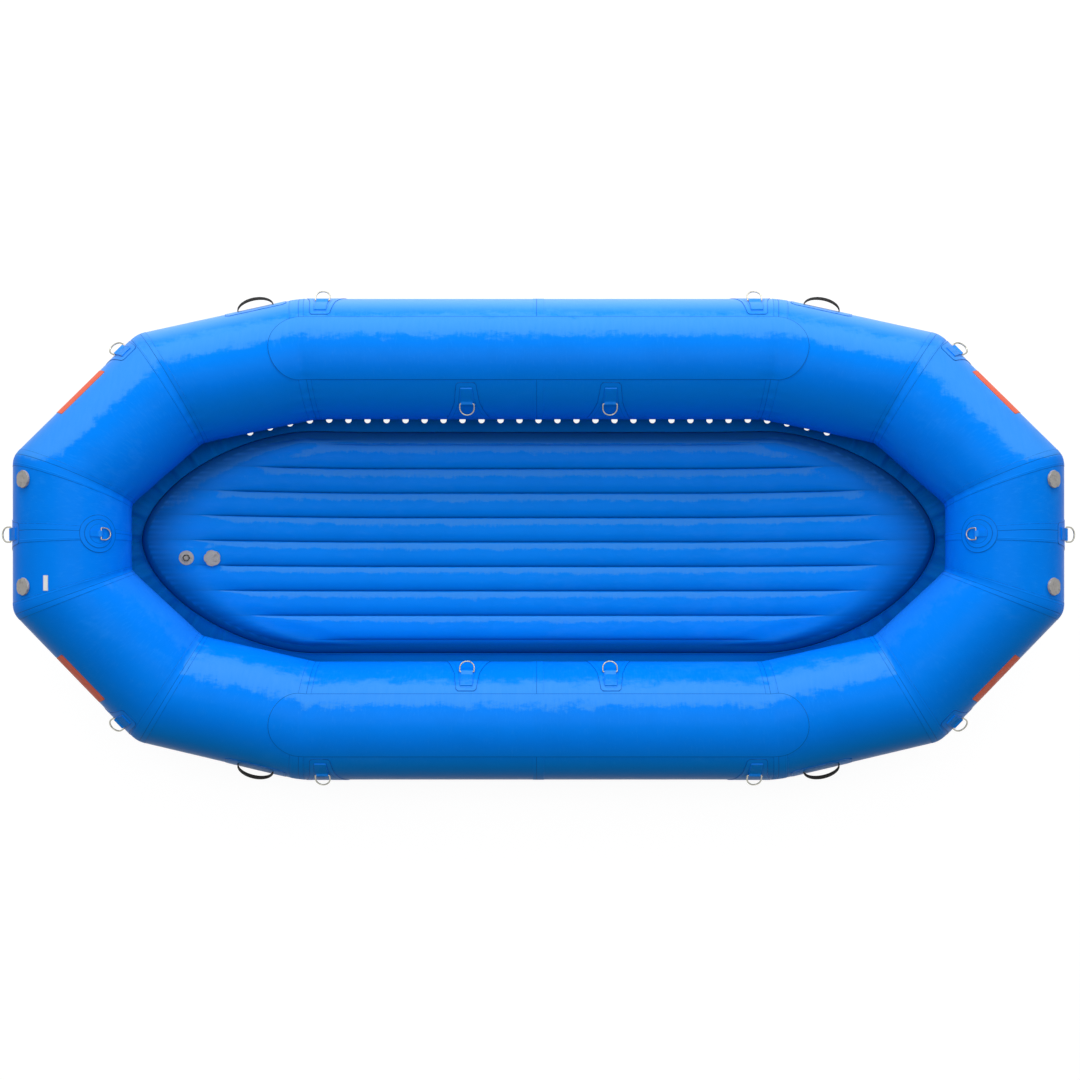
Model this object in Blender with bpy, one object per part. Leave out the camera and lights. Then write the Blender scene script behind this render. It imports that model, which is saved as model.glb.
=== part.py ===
"""Inflatable whitewater raft with a self-bailing floor, in metres.

The raft lies on its side tubes: bow at +X, port at +Y, up at +Z. The origin is
on the ground under the middle of the raft. Every tube piece is worked out in
the bow port quarter and mirrored into the other quarters.
"""

import functools
import math

import bmesh
import bpy
from mathutils import Matrix, Vector

# Tube loop: the axis corners and radii of the bow port quarter
SIDE_HALF_LENGTH = 0.965
SIDE_AXIS_OFFSET = 0.752
SIDE_RADIUS = 0.245
SHOULDER_REACH = 0.545
SHOULDER_END_X = SIDE_HALF_LENGTH + SHOULDER_REACH
SHOULDER_INSET = 0.14
SHOULDER_END_Y = SIDE_AXIS_OFFSET - SHOULDER_INSET
SHOULDER_LIFT = 0.09
SHOULDER_RADIUS = 0.2385
END_REACH = 0.335
END_AXIS_X = SHOULDER_END_X + END_REACH
END_HALF_LENGTH = 0.218
END_LIFT = 0.26
END_RADIUS = 0.218
TUBE_SIDES = 32
SKIN = 0.0015
BAFFLE = 0.0015
BAFFLE_SAG = 0.03

# Layers and running gaps
GLUE_GAP = 0.0004
MERGE_DISTANCE = GLUE_GAP / 40
OVERRUN = 0.004

# Floor mattress
FLOOR_END_SETBACK = 0.195
FLOOR_HALF_LENGTH = END_AXIS_X - FLOOR_END_SETBACK
FLOOR_SIDE_SETBACK = 0.273
FLOOR_HALF_WIDTH = SIDE_AXIS_OFFSET - FLOOR_SIDE_SETBACK
FLOOR_STRAIGHT = SIDE_HALF_LENGTH
FLOOR_SIDE_BAND = 0.059
FLOOR_ROCKER_START = 0.70
FLOOR_KICK = 0.20
FLOOR_CLEARANCE = 0.012
FLOOR_THICKNESS = 0.105
FLOOR_CREASE_THICKNESS = 0.082
FLOOR_RIM_THICKNESS = 0.058
FLOOR_EDGE_ROLL = 0.035
FLOOR_EDGE_BAND = 0.026
FLOOR_ROLL_DOWN = 0.12
FLOOR_CREASE_FADE = 0.20
FLOOR_SKIN = 0.0014
WEB = 0.0012
BEAMS = 8
BEAM_PITCH = (FLOOR_HALF_WIDTH - FLOOR_SIDE_BAND) / (BEAMS / 2)
FLOOR_SMOOTH_share = 0.6
FLOOR_OVAL_POWER_share = 1.7
FLOOR_ROCKER_POWER_share = 1.6
BEAM_PROFILE_shares = ((0, 0), (0.5, 1))
MID_STATION_shares = (0, 0.55)

# Drain skirt
SKIRT = 0.0015
SKIRT_FACET = 20
SKIRT_LAP = 0.002
SKIRT_DIAGONALS = (None, 0, 0, None, 1, None, 1, None, None)
DRAIN_HOLE_RADIUS = 0.0135
DRAIN_HOLE_PITCH = 0.0825
DRAIN_HOLE_REACH = 1.25
DRAIN_HOLE_SIDES = 6
DRAIN_HOLE_PLACE_share = 0.48

# Lashing rings and their patches
WEBBING = 0.004
PATCH = 0.0015
EYE_SIDES = 8
EYE_WALL = 0.002
EYE_GAP = 0.0006
EYE_TAIL = 0.013
EYE_INSET = 0.0006
EYE_LAP_share = 0.8
EYE_CORNER_share = 0.9
SINK_shares = {"cover": 0.7, "webbing": 0.5, "eye": 0.3}
MITRE_LIMIT_share = 0.5
WIRE_SIDES = 6
REST_GAP = 0.0006
RING_WIRE = 0.006
RING_HALF_WIDTH = 0.029
RING_LENGTH = 0.047
RING_WEBBING_WIDTH = 0.048
SMALL_RING_WIRE = 0.005
SMALL_RING_HALF_WIDTH = 0.0225
SMALL_RING_LENGTH = 0.038
SMALL_RING_WEBBING_WIDTH = 0.024
RING_BEND_share = 0.7
RING_BOW_STEPS = 6
RING_REST_FALL = math.radians(28)
PATCH_LENGTH = 0.24
PATCH_WIDTH = 0.18
PATCH_STRAP_START = 0.024
PATCH_BAR = 0.097
PATCH_OUTLINE_shares = ((0, 0.37), (0.04, 0.46), (0.4, 0.58), (0.75, 0.86), (0.93, 1), (1, 0.9))
ROUND_PATCH_share = 0.335
ROUND_PATCH_RADIUS = END_RADIUS * ROUND_PATCH_share
ROUND_INNER_share = 0.753
ROUND_COVER_RADIUS = ROUND_PATCH_RADIUS * ROUND_INNER_share
ROUND_STRAP_BACK = 0.034
ROUND_BAR = 0.006
ROUND_ROWS = 8
ROUND_COVER_share = 1.7
ROUND_TIP_share = 0.125

# Where the rings sit
SIDE_OUTER_RING_INSET = 0.09
SIDE_INNER_RING_share = 0.3005
QUARTER_RING_ALONG = 0.04
SIDE_OUTER_RING_TURN = math.radians(34)
SIDE_INNER_RING_TURN = math.radians(146)
QUARTER_RING_TURN = math.radians(31)
END_OUTER_RING_TURN = math.radians(26)
END_INNER_RING_TURN = math.radians(139)

# Valves
VALVE_TURN = math.radians(56)
VALVE_OFFSET = 0.204
VALVE_SIDES = 16
HOLE_SIDES = 12
VALVE_FLANGE_RADIUS = 0.031
VALVE_FLANGE = 0.0016
VALVE_BARREL_RADIUS = 0.019
VALVE_BARREL_DEPTH = 0.030
VALVE_BORE_RADIUS = 0.0125
VALVE_NUT_RADIUS = 0.026
VALVE_NUT = 0.003
VALVE_COLLAR_RADIUS = 0.0235
VALVE_COLLAR_HEIGHT = 0.0052
VALVE_FIT_GAP = 0.0004
CAP_RADIUS = 0.034
CAP_TOP = 0.0022
CAP_BEVEL = 0.0012
CAP_SCALLOPS = 5
CAP_SCALLOP_DEPTH = 0.0022
FLOOR_VALVE_INSET = 0.284
RELIEF_VALVE_INSET = 0.184
FLOOR_VALVE_WEB_REACH = 0.03
FLOOR_VALVE_X = FLOOR_HALF_LENGTH - FLOOR_VALVE_INSET
RELIEF_VALVE_X = FLOOR_HALF_LENGTH - RELIEF_VALVE_INSET
FLOOR_VALVE_Y = BEAM_PITCH - FLOOR_VALVE_WEB_REACH
FLOOR_VALVE_RISE = 0.001
FLOOR_BOSS = 0.014
FLOOR_BOSS_MARGIN = 0.005
RELIEF_FLANGE_RADIUS = 0.030
RELIEF_FLANGE = 0.0025
RELIEF_HEX_RADIUS = 0.0155
RELIEF_HEX_HEIGHT = 0.0065
RELIEF_CUP_RADIUS = 0.0105
RELIEF_BARREL_RADIUS = 0.012
RELIEF_BARREL_DEPTH = 0.018
RELIEF_SHAFT_RADIUS = 0.0042
RELIEF_BUTTON = 0.0025
RELIEF_TRAVEL = 0.004
RELIEF_STOP_RADIUS = 0.0085

# Carry handles and chafe pads
HANDLE_ALONG = 0.15
HANDLE_TURN = math.radians(23)
HANDLE_PATCH_LENGTH = 0.25
HANDLE_PATCH_WIDTH = 0.085
HANDLE_SPAN = 0.144
HANDLE_BULGE = 0.036
HANDLE_STRAP_WIDTH = 0.030
HANDLE_STRAP = 0.0035
HANDLE_STEPS = 10
HANDLE_ROUND_shares = ((0, 0.86), (0.16, 1), (0.84, 1), (1, 0.86))
PAD_WIDTH_share = 0.5388
PAD_HALF_WIDTH = SIDE_RADIUS * PAD_WIDTH_share
PAD = 0.0018

# Finishes: colour, roughness, metallic
BLUE = ((0.01, 0.22, 0.86, 1), 0.42, 0.0)
DARK_BLUE = ((0.008, 0.15, 0.62, 1), 0.5, 0.0)
STEEL = ((0.62, 0.61, 0.56, 1), 0.28, 1.0)
GREY = ((0.33, 0.33, 0.33, 1), 0.5, 0.0)
BLACK = ((0.02, 0.02, 0.022, 1), 0.7, 0.0)

FACET_TURN = 2 * math.pi / TUBE_SIDES
QUARTERS = {
    "bow_port": (1, 1), "bow_starboard": (1, -1), "stern_port": (-1, 1), "stern_starboard": (-1, -1),
}
ENDS = {"bow": (1, 1), "stern": (-1, 1)}


def clear_scene():
    for obj in list(bpy.data.objects):
        bpy.data.objects.remove(obj, do_unlink=True)


def material_for(name, finish):
    colour, roughness, metallic = finish
    material = bpy.data.materials.new(name)
    material.use_nodes = True
    shader = material.node_tree.nodes["Principled BSDF"]
    shader.inputs["Base Color"].default_value = colour
    shader.inputs["Roughness"].default_value = roughness
    shader.inputs["Metallic"].default_value = metallic
    return material


def mirrored(points, signs):
    return [Vector((point[0] * signs[0], point[1] * signs[1], point[2])) for point in points]


def make_object(name, points, faces, finish, origin=None, signs=(1, 1)):
    """One closed body whose mesh is measured from origin, all of it mirrored by signs."""
    origin = Vector(origin) if origin is not None else Vector()
    mesh = bpy.data.meshes.new(name)
    body = bmesh.new()
    corners = [body.verts.new(point) for point in mirrored([p - origin for p in points], signs)]
    for face in faces:
        body.faces.new([corners[index] for index in face])
    bmesh.ops.remove_doubles(body, verts=body.verts, dist=MERGE_DISTANCE)
    bmesh.ops.dissolve_degenerate(body, edges=body.edges, dist=MERGE_DISTANCE)
    bmesh.ops.delete(body, geom=[edge for edge in body.edges if edge.is_wire], context="EDGES")
    bmesh.ops.recalc_face_normals(body, faces=body.faces)
    body.to_mesh(mesh)
    body.free()
    obj = bpy.data.objects.new(name, mesh)
    obj.location = mirrored([origin], signs)[0]
    bpy.context.scene.collection.objects.link(obj)
    mesh.materials.append(material_for(name, finish))
    mesh.shade_smooth()
    mesh.set_sharp_from_angle(angle=math.radians(25))
    return obj


def loft(sections, closed=True, diagonals=None):
    """Joins equal closed sections, one after another; diagonals says how a column's quads are split."""
    count = len(sections[0])
    points = [point for section in sections for point in section]
    faces = []
    for row in range(len(sections) if closed else len(sections) - 1):
        after = (row + 1) % len(sections)
        for column in range(count):
            beside = (column + 1) % count
            quad = tuple(line * count + place for line, place in (
                (row, column), (row, beside), (after, beside), (after, column),
            ))
            split = diagonals[column] if diagonals else None
            if split is None:
                faces.append(quad)
            else:
                turned_quad = quad[split:] + quad[:split]
                faces += [turned_quad[:3], (turned_quad[0],) + turned_quad[2:]]
    if not closed:
        faces.append(tuple(range(count)))
        faces.append(tuple((len(sections) - 1) * count + column for column in range(count)))
    return points, faces


def gathered(shapes):
    """Several shapes' points and faces as one."""
    points, faces = [], []
    for shape_points, shape_faces in shapes:
        faces += [tuple(corner + len(points) for corner in face) for face in shape_faces]
        points += shape_points
    return points, faces


def slab(low, high):
    """Closes two equal grids of points into one sheet with a thickness."""
    rows, columns = len(low), len(low[0])
    points = [point for grid in (low, high) for row in grid for point in row]

    def corner(layer, row, column):
        return (layer * rows + row) * columns + column

    faces = []
    for row in range(rows - 1):
        for column in range(columns - 1):
            for layer in (0, 1):
                faces.append((
                    corner(layer, row, column),
                    corner(layer, row + 1, column),
                    corner(layer, row + 1, column + 1),
                    corner(layer, row, column + 1),
                ))
    border = [(0, column) for column in range(columns - 1)]
    border += [(row, columns - 1) for row in range(rows - 1)]
    border += [(rows - 1, column) for column in range(columns - 1, 0, -1)]
    border += [(row, 0) for row in range(rows - 1, 0, -1)]
    for here, there in zip(border, border[1:] + border[:1]):
        faces.append((corner(0, *here), corner(0, *there), corner(1, *there), corner(1, *here)))
    return points, faces


def turned(frame, profile, sides, radius_at=None):
    """A closed profile of radius and height, turned about the frame's third axis."""
    sections = []
    for step in range(sides):
        angle = 2 * math.pi * step / sides
        section = []
        for radius, height in profile:
            reach = radius_at(angle, radius) if radius_at else radius
            section.append(frame @ Vector((reach * math.cos(angle), reach * math.sin(angle), height)))
        sections.append(section)
    return loft(sections)


def cut(obj, cutter):
    """Takes the cutter out of obj with a Boolean modifier and hides the cutter."""
    modifier = obj.modifiers.new("cut " + cutter.name, "BOOLEAN")
    modifier.operation = "DIFFERENCE"
    modifier.solver = "EXACT"
    modifier.object = cutter
    cutter.hide_render = True
    cutter.display_type = "WIRE"


def fuse(obj, others):
    """Joins the overlapping helper shapes to obj with Boolean modifiers and welds the seams."""
    for other in others:
        modifier = obj.modifiers.new("join " + other.name, "BOOLEAN")
        modifier.operation = "UNION"
        modifier.solver = "EXACT"
        modifier.object = other
        other.hide_render = True
        other.display_type = "WIRE"
    weld = obj.modifiers.new("weld seams", "WELD")
    weld.merge_threshold = MERGE_DISTANCE


def mix(first, second, share):
    return first + (second - first) * share


@functools.lru_cache(maxsize=None)
def quarter_axis():
    """Corners of the tube axis from the middle of the side to the middle of the end."""
    return (
        Vector((0, SIDE_AXIS_OFFSET, SIDE_RADIUS)),
        Vector((SIDE_HALF_LENGTH, SIDE_AXIS_OFFSET, SIDE_RADIUS)),
        Vector((SHOULDER_END_X, SHOULDER_END_Y, SHOULDER_LIFT + SHOULDER_RADIUS)),
        Vector((END_AXIS_X, END_HALF_LENGTH, END_LIFT + END_RADIUS)),
        Vector((END_AXIS_X, 0, END_LIFT + END_RADIUS)),
    )


def corner_radii():
    return (SIDE_RADIUS, SIDE_RADIUS, SHOULDER_RADIUS, END_RADIUS, END_RADIUS)


def segment_direction(segment):
    axis = quarter_axis()
    return (axis[segment + 1] - axis[segment]).normalized()


@functools.lru_cache(maxsize=None)
def spokes(segment):
    """Two unit directions square to a segment, carried along the axis so that the facets stay flat."""
    if segment == 0:
        return Vector((0, 1, 0)), Vector((0, 0, 1))
    carry = segment_direction(segment - 1).rotation_difference(segment_direction(segment))
    first, second = spokes(segment - 1)
    return carry @ first, carry @ second


def twist(segment):
    """Turn of the segment's first facet from level outward, positive towards up."""
    way = segment_direction(segment)
    outward = Vector((-way.y, way.x, 0)).normalized()
    first = spokes(segment)[0]
    return math.atan2(first.dot(way.cross(outward)), first.dot(outward))


def facet_middle(segment, turn):
    """The turn of the facet middle nearest to a turn on a segment."""
    return twist(segment) + round((turn - twist(segment)) / FACET_TURN) * FACET_TURN


@functools.lru_cache(maxsize=None)
def ring(corner, lift=0.0):
    """The tube's section in the mitre plane of one corner, lift outside its facets."""
    last = len(quarter_axis()) - 2
    before = segment_direction(max(corner - 1, 0))
    after = segment_direction(min(corner, last))
    normal = (before + after).normalized()
    outward, up = spokes(min(corner, last))
    reach = (corner_radii()[corner] + lift) / math.cos(FACET_TURN / 2)
    points = []
    for step in range(TUBE_SIDES):
        turn = (step + 0.5) * FACET_TURN
        spoke = outward * math.cos(turn) + up * math.sin(turn)
        spoke -= after * (spoke.dot(normal) / after.dot(normal))
        points.append(quarter_axis()[corner] + spoke * reach)
    return tuple(points)


def surface(segment, along, turn, lift=0.0):
    """A point on a segment's facets: along is measured on the axis from its first corner."""
    start = quarter_axis()[segment]
    direction = segment_direction(segment)
    step = (turn - twist(segment)) / FACET_TURN - 0.5
    low = math.floor(step)
    pair = []
    for index in (low % TUBE_SIDES, (low + 1) % TUBE_SIDES):
        first = ring(segment, lift)[index]
        second = ring(segment + 1, lift)[index]
        from_start = (first - start).dot(direction)
        to_end = (second - start).dot(direction)
        pair.append(mix(first, second, (along - from_start) / (to_end - from_start)))
    return mix(pair[0], pair[1], step - low)


def surface_frame(segment, along, turn, downhill=-1):
    """A frame on the tube: first axis downhill round it, second along it, third outward."""
    origin = surface(segment, along, turn)
    reach = FACET_TURN / 8
    round_way = surface(segment, along, turn + reach) - surface(segment, along, turn - reach)
    round_way = (round_way * downhill).normalized()
    length = SIDE_RADIUS / 8
    along_way = surface(segment, along + length, turn) - surface(segment, along - length, turn)
    along_way = (along_way * downhill).normalized()
    outward = round_way.cross(along_way).normalized()
    along_way = outward.cross(round_way)
    return Matrix((
        (round_way.x, along_way.x, outward.x, origin.x),
        (round_way.y, along_way.y, outward.y, origin.y),
        (round_way.z, along_way.z, outward.z, origin.z),
        (0, 0, 0, 1),
    ))


def local_radius(segment, along):
    """The tube's radius at a distance along a segment's axis."""
    axis = quarter_axis()
    length = (axis[segment + 1] - axis[segment]).length
    return mix(corner_radii()[segment], corner_radii()[segment + 1], along / length)


def facet_lines_between(segment, low_turn, high_turn):
    """Turns of the facet edges of a segment that lie between two turns."""
    first = math.floor((low_turn - twist(segment)) / FACET_TURN - 0.5)
    count = math.ceil((high_turn - low_turn) / FACET_TURN) + 2
    lines = [twist(segment) + (first + step + 0.5) * FACET_TURN for step in range(count)]
    return [line for line in lines if low_turn < line < high_turn]


def along_outline(distance, outline):
    """The half width that an outline of distance and half width points has there."""
    for (start, first), (end, second) in zip(outline, outline[1:]):
        if start <= distance <= end:
            return mix(first, second, (distance - start) / (end - start))
    return outline[-1][1] if distance > outline[-1][0] else outline[0][1]


def tube_sheet(segment, along, start_turn, downhill, outline, low_lift, high_lift):
    """A sheet on the tube whose half width follows outline as it runs downhill."""
    radius = local_radius(segment, along)
    end_turn = start_turn + downhill * (outline[-1][0] - outline[0][0]) / radius
    turns = facet_lines_between(segment, min(start_turn, end_turn), max(start_turn, end_turn))
    distances = [outline[0][0] + downhill * (turn - start_turn) * radius for turn in turns]
    distances = sorted(distances + [distance for distance, _ in outline])
    grids = []
    for lift in (low_lift, high_lift):
        grid = []
        for distance in distances:
            half = along_outline(distance, outline)
            turn = start_turn + downhill * (distance - outline[0][0]) / radius
            grid.append([surface(segment, along + side * half, turn, lift) for side in (-1, 1)])
        grids.append(grid)
    return slab(*grids)


def make_chamber(quarter, signs):
    """A quarter of the loop: bent tube skin, open where the baffles close it."""
    slot = BAFFLE / 2 + GLUE_GAP
    corners = range(len(quarter_axis()))
    sections = []
    for step in range(TUBE_SIDES):
        section = [ring(corner)[step].copy() for corner in corners]
        section += [ring(corner, -SKIN)[step].copy() for corner in reversed(corners)]
        for index in (0, -1):
            section[index].x += slot
        for index in (len(corners) - 1, len(corners)):
            section[index].y += slot
        sections.append(section)
    points, faces = loft(sections)
    chamber = make_object("chamber_" + quarter, points, faces, BLUE, signs=signs)
    hole = valve_hole_shape(valve_frame(), VALVE_BARREL_RADIUS, SKIN)
    cut(chamber, make_object("valve_hole_" + quarter, *hole, BLUE, signs=signs))


def make_baffle(name, corner, signs):
    """The fabric wall between two chambers, slack enough to belly to either side."""
    centre = quarter_axis()[corner]
    way = segment_direction(min(corner, len(quarter_axis()) - 2))
    half = way * (BAFFLE / 2)
    belly = way * BAFFLE_SAG
    sections = []
    for rim in ring(corner):
        sections.append([centre + belly - half, rim - half, rim + half, centre + belly + half])
    points, faces = loft(sections)
    make_object(name, points, faces, DARK_BLUE, signs=signs)


def make_baffles():
    last = len(quarter_axis()) - 1
    make_baffle("baffle_port", 0, (1, 1))
    make_baffle("baffle_starboard", 0, (-1, -1))
    make_baffle("baffle_bow", last, (1, 1))
    make_baffle("baffle_stern", last, (-1, -1))


def floor_oval(across, length, width):
    """How far the floor's oval end reaches along X at a distance across."""
    share = min(abs(across) / width, 1)
    power = FLOOR_OVAL_POWER_share
    return FLOOR_STRAIGHT + (length - FLOOR_STRAIGHT) * (1 - share**power) ** (1 / power)


def floor_rise(x):
    """How far the rocker lifts the floor at x."""
    run = max(abs(x) - FLOOR_ROCKER_START, 0) / (FLOOR_HALF_LENGTH - FLOOR_ROCKER_START)
    return FLOOR_KICK * run**FLOOR_ROCKER_POWER_share


def floor_middle(x):
    return floor_rise(x) + FLOOR_CLEARANCE + FLOOR_THICKNESS / 2


def ramp(value, low, high):
    share = min(max((value - low) / (high - low), 0), 1)
    return share * share * (3 - 2 * share)


def floor_inner_limits():
    return FLOOR_HALF_LENGTH - FLOOR_EDGE_ROLL, FLOOR_HALF_WIDTH - FLOOR_EDGE_ROLL


def beam_fullness(across):
    """0 over a web, 1 on the flat of a beam between two webs."""
    if abs(across) >= BEAMS / 2 * BEAM_PITCH:
        return 0
    place = across / BEAM_PITCH - math.floor(across / BEAM_PITCH)
    flat = BEAM_PROFILE_shares[1][0]
    return min(place / flat, (1 - place) / flat, 1)


def floor_depth(x, across):
    """The floor's full thickness at a point inside its rolled edge."""
    length, width = floor_inner_limits()
    to_end = floor_oval(across, length, width) - abs(x)
    smooth = mix(FLOOR_CREASE_THICKNESS, FLOOR_THICKNESS, FLOOR_SMOOTH_share)
    creased = mix(FLOOR_CREASE_THICKNESS, FLOOR_THICKNESS, beam_fullness(across))
    crease_share = ramp(to_end, FLOOR_ROLL_DOWN, FLOOR_ROLL_DOWN + FLOOR_CREASE_FADE)
    depth = mix(smooth, creased, crease_share)
    to_side = width - abs(across)
    side_share = ramp(to_side, 0, width - BEAMS / 2 * BEAM_PITCH)
    edge_share = min(ramp(to_end, 0, FLOOR_ROLL_DOWN), side_share)
    return mix(FLOOR_RIM_THICKNESS, depth, edge_share)


def floor_rows():
    """Distances across the floor of its grid lines: its edges, the webs and the crests."""
    edge = floor_inner_limits()[1]
    lines = []
    for beam in range(BEAMS):
        start = (beam - BEAMS / 2) * BEAM_PITCH
        for place, _ in BEAM_PROFILE_shares:
            lines.append(start + place * BEAM_PITCH)
    lines.append(BEAMS / 2 * BEAM_PITCH)
    return [-edge] + lines + [edge]


def floor_stations(across):
    """Distances along the floor of its grid columns at one distance across."""
    length, width = floor_inner_limits()
    reach = floor_oval(across, length, width)
    beams_end = reach - FLOOR_ROLL_DOWN - FLOOR_CREASE_FADE
    middle = min(FLOOR_ROCKER_START, beams_end * MID_STATION_shares[-1])
    half = [mix(middle, beams_end, share) for share in MID_STATION_shares]
    half += [beams_end, reach - FLOOR_ROLL_DOWN, reach]
    return [-value for value in reversed(half)] + half


def floor_shell():
    """The floor's outer skin: creased top and bottom, rolled edge, flat band for the skirt."""
    rows = floor_rows()
    top, bottom = [], []
    for across in rows:
        top_row, bottom_row = [], []
        for x in floor_stations(across):
            half = floor_depth(x, across) / 2
            top_row.append(Vector((x, across, floor_middle(x) + half)))
            bottom_row.append(Vector((x, across, floor_middle(x) - half)))
        top.append(top_row)
        bottom.append(bottom_row)
    rims = [floor_border(top)]
    rims += floor_edge_rings(rims[0])
    rims.append(floor_border(bottom))
    return top, bottom, rims


def floor_border(grid):
    """The border of a grid of rows, once round."""
    border = list(grid[0])
    border += [row[-1] for row in grid[1:-1]]
    border += list(reversed(grid[-1]))
    border += [row[0] for row in reversed(grid[1:-1])]
    return border


def outward_ways(border):
    """Plan directions square to a closed border that runs counterclockwise."""
    ways = []
    for index, point in enumerate(border):
        before = point - border[index - 1]
        after = border[(index + 1) % len(border)] - point
        first = Vector((before.y, -before.x, 0)).normalized()
        second = Vector((after.y, -after.x, 0)).normalized()
        way = (first + second).normalized()
        ways.append(way / max(way.dot(first), MITRE_LIMIT_share))
    return ways


def offset_border(border, distance):
    return [point + way * distance for point, way in zip(border, outward_ways(border))]


def floor_edge_rings(border):
    """Top and bottom line of the flat band round the rolled edge."""
    rings = []
    for half in (FLOOR_EDGE_BAND / 2, -FLOOR_EDGE_BAND / 2):
        level = offset_border(border, FLOOR_EDGE_ROLL)
        rings.append([Vector((p.x, p.y, floor_middle(q.x) + half)) for p, q in zip(level, border)])
    return rings


def halves(quad, flip):
    """Two triangles of a quad, split the same way on the skin and on the air inside it."""
    turned_quad = quad[1:] + quad[:1] if flip else quad
    return [turned_quad[:3], (turned_quad[0],) + turned_quad[2:]]


def grid_solid(top, bottom, rims):
    """Closes a top and a bottom grid with rings of points round the edge."""
    rows, columns = len(top), len(top[0])
    points, faces = [], []
    lookup = {}

    def index_of(point):
        key = (id(point),)
        if key not in lookup:
            lookup[key] = len(points)
            points.append(point)
        return lookup[key]

    for grid in (top, bottom):
        for row in range(rows - 1):
            for column in range(columns - 1):
                near, far = grid[row], grid[row + 1]
                corners = (near[column], far[column], far[column + 1], near[column + 1])
                flip = (row >= rows // 2) != (column >= columns // 2)
                faces += halves(tuple(index_of(corner) for corner in corners), flip)
    for upper, lower in zip(rims, rims[1:]):
        count = len(upper)
        for index in range(count):
            beside = (index + 1) % count
            corners = (upper[index], upper[beside], lower[beside], lower[index])
            faces.append(tuple(index_of(corner) for corner in corners))
    return points, faces


def floor_air():
    """The air in the floor: one channel in each beam, joined round the ends of the webs."""
    top, bottom, rims = floor_shell()
    inward = {}
    for rim in (rims[0], rims[-1]):
        for point, way in zip(rim, outward_ways(rim)):
            inward[id(point)] = -way * (FLOOR_SKIN + WEB)
    levels = {}
    web_rows = set()
    row = 0
    for index in range(len(top)):
        on_web = index % 2 == 1
        for shift in (-WEB / 2, WEB / 2) if on_web else (0,):
            for side, grid in ((1, top), (-1, bottom)):
                for column, point in enumerate(grid[index]):
                    step = inward.get(id(point), Vector())
                    levels[row, column, side] = point + step + Vector((0, shift, -side * FLOOR_SKIN))
            row += 1
        if on_web:
            web_rows.add(row - 2)
    columns = len(top[0])
    web_columns = range(2, columns - 3)
    solid_cells = {(web_row, column) for web_row in web_rows for column in web_columns}
    return air_mesh(levels, row, columns, solid_cells)


def air_mesh(levels, rows, columns, solid_cells):
    """Top, bottom and walls of every cell of the grid that holds air."""
    keys = sorted(levels)
    points = [levels[key] for key in keys]
    number = {key: index for index, key in enumerate(keys)}
    cells = {(row, column) for row in range(rows - 1) for column in range(columns - 1)} - solid_cells
    faces = []
    for row, column in sorted(cells):
        square = ((row, column), (row + 1, column), (row + 1, column + 1), (row, column + 1))
        for side in (1, -1):
            flip = (row >= rows // 2) != (column >= columns // 2)
            faces += halves(tuple(number[corner + (side,)] for corner in square), flip)
        steps = ((0, -1), (1, 0), (0, 1), (-1, 0))
        for (first, second), (down, right) in zip(zip(square, square[1:] + square[:1]), steps):
            if (row + down, column + right) not in cells:
                wall = (first + (1,), second + (1,), second + (-1,), first + (-1,))
                faces.append(tuple(number[corner] for corner in wall))
    used = sorted({index for face in faces for index in face})
    renumber = {old: new for new, old in enumerate(used)}
    return [points[index] for index in used], [tuple(renumber[index] for index in face) for face in faces]


def make_floor():
    points, faces = grid_solid(*floor_shell())
    floor = make_object("floor_mattress", points, faces, BLUE)
    air_points, air_faces = floor_air()
    cut(floor, make_object("floor_air", air_points, air_faces, BLUE))
    seats = (
        (FLOOR_VALVE_X, VALVE_FLANGE_RADIUS, VALVE_BARREL_RADIUS),
        (RELIEF_VALVE_X, RELIEF_FLANGE_RADIUS, RELIEF_BARREL_RADIUS),
    )
    discs, holes = [], []
    for place, flange, barrel in seats:
        frame = floor_valve_frame(place)
        discs.append(turned(frame, upright(flange + FLOOR_BOSS_MARGIN, 0, -FLOOR_BOSS), HOLE_SIDES))
        holes.append(valve_hole_shape(frame, barrel, FLOOR_BOSS))
    fuse(floor, [make_object("floor_valve_bosses", *gathered(discs), BLUE)])
    cut(floor, make_object("floor_valve_holes", *gathered(holes), BLUE))


def skirt_sections():
    """Sections of the skirt all round: floor flange, sheet and the band glued to the tube."""
    rim = floor_shell()[2][1]
    count = len(rim)
    near = offset_border(rim, GLUE_GAP)
    far = offset_border(rim, GLUE_GAP + SKIRT)
    quarter_marks = quarter_tube_marks(rim)
    sections = []
    for index in range(count):
        point = rim[index]
        signs = (1 if point.x >= 0 else -1, 1 if point.y >= 0 else -1)
        segment, share = quarter_marks[(round(abs(point.x), 6), round(abs(point.y), 6))]
        tube = mirrored(skirt_tube_points(segment, share), signs)
        drop = Vector((0, 0, FLOOR_EDGE_BAND))
        lip = Vector((0, 0, SKIRT * 2))
        sections.append([near[index], near[index] - drop] + tube + [far[index] - drop + lip, far[index]])
    return sections


def skirt_tube_points(segment, share):
    """Where the skirt meets the tube: outer and inner side of its glued band, and its upper lap."""
    points = []
    outer = GLUE_GAP + SKIRT
    for lift, facet in ((outer, 0), (outer, 1), (GLUE_GAP, 1), (GLUE_GAP, 0), (GLUE_GAP, -1)):
        first = ring(segment, lift)[SKIRT_FACET + facet]
        second = ring(segment + 1, lift)[SKIRT_FACET + facet]
        points.append(mix(first, second, share))
    points[-1] = points[-2] + (points[-1] - points[-2]).normalized() * SKIRT_LAP
    return points


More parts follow.
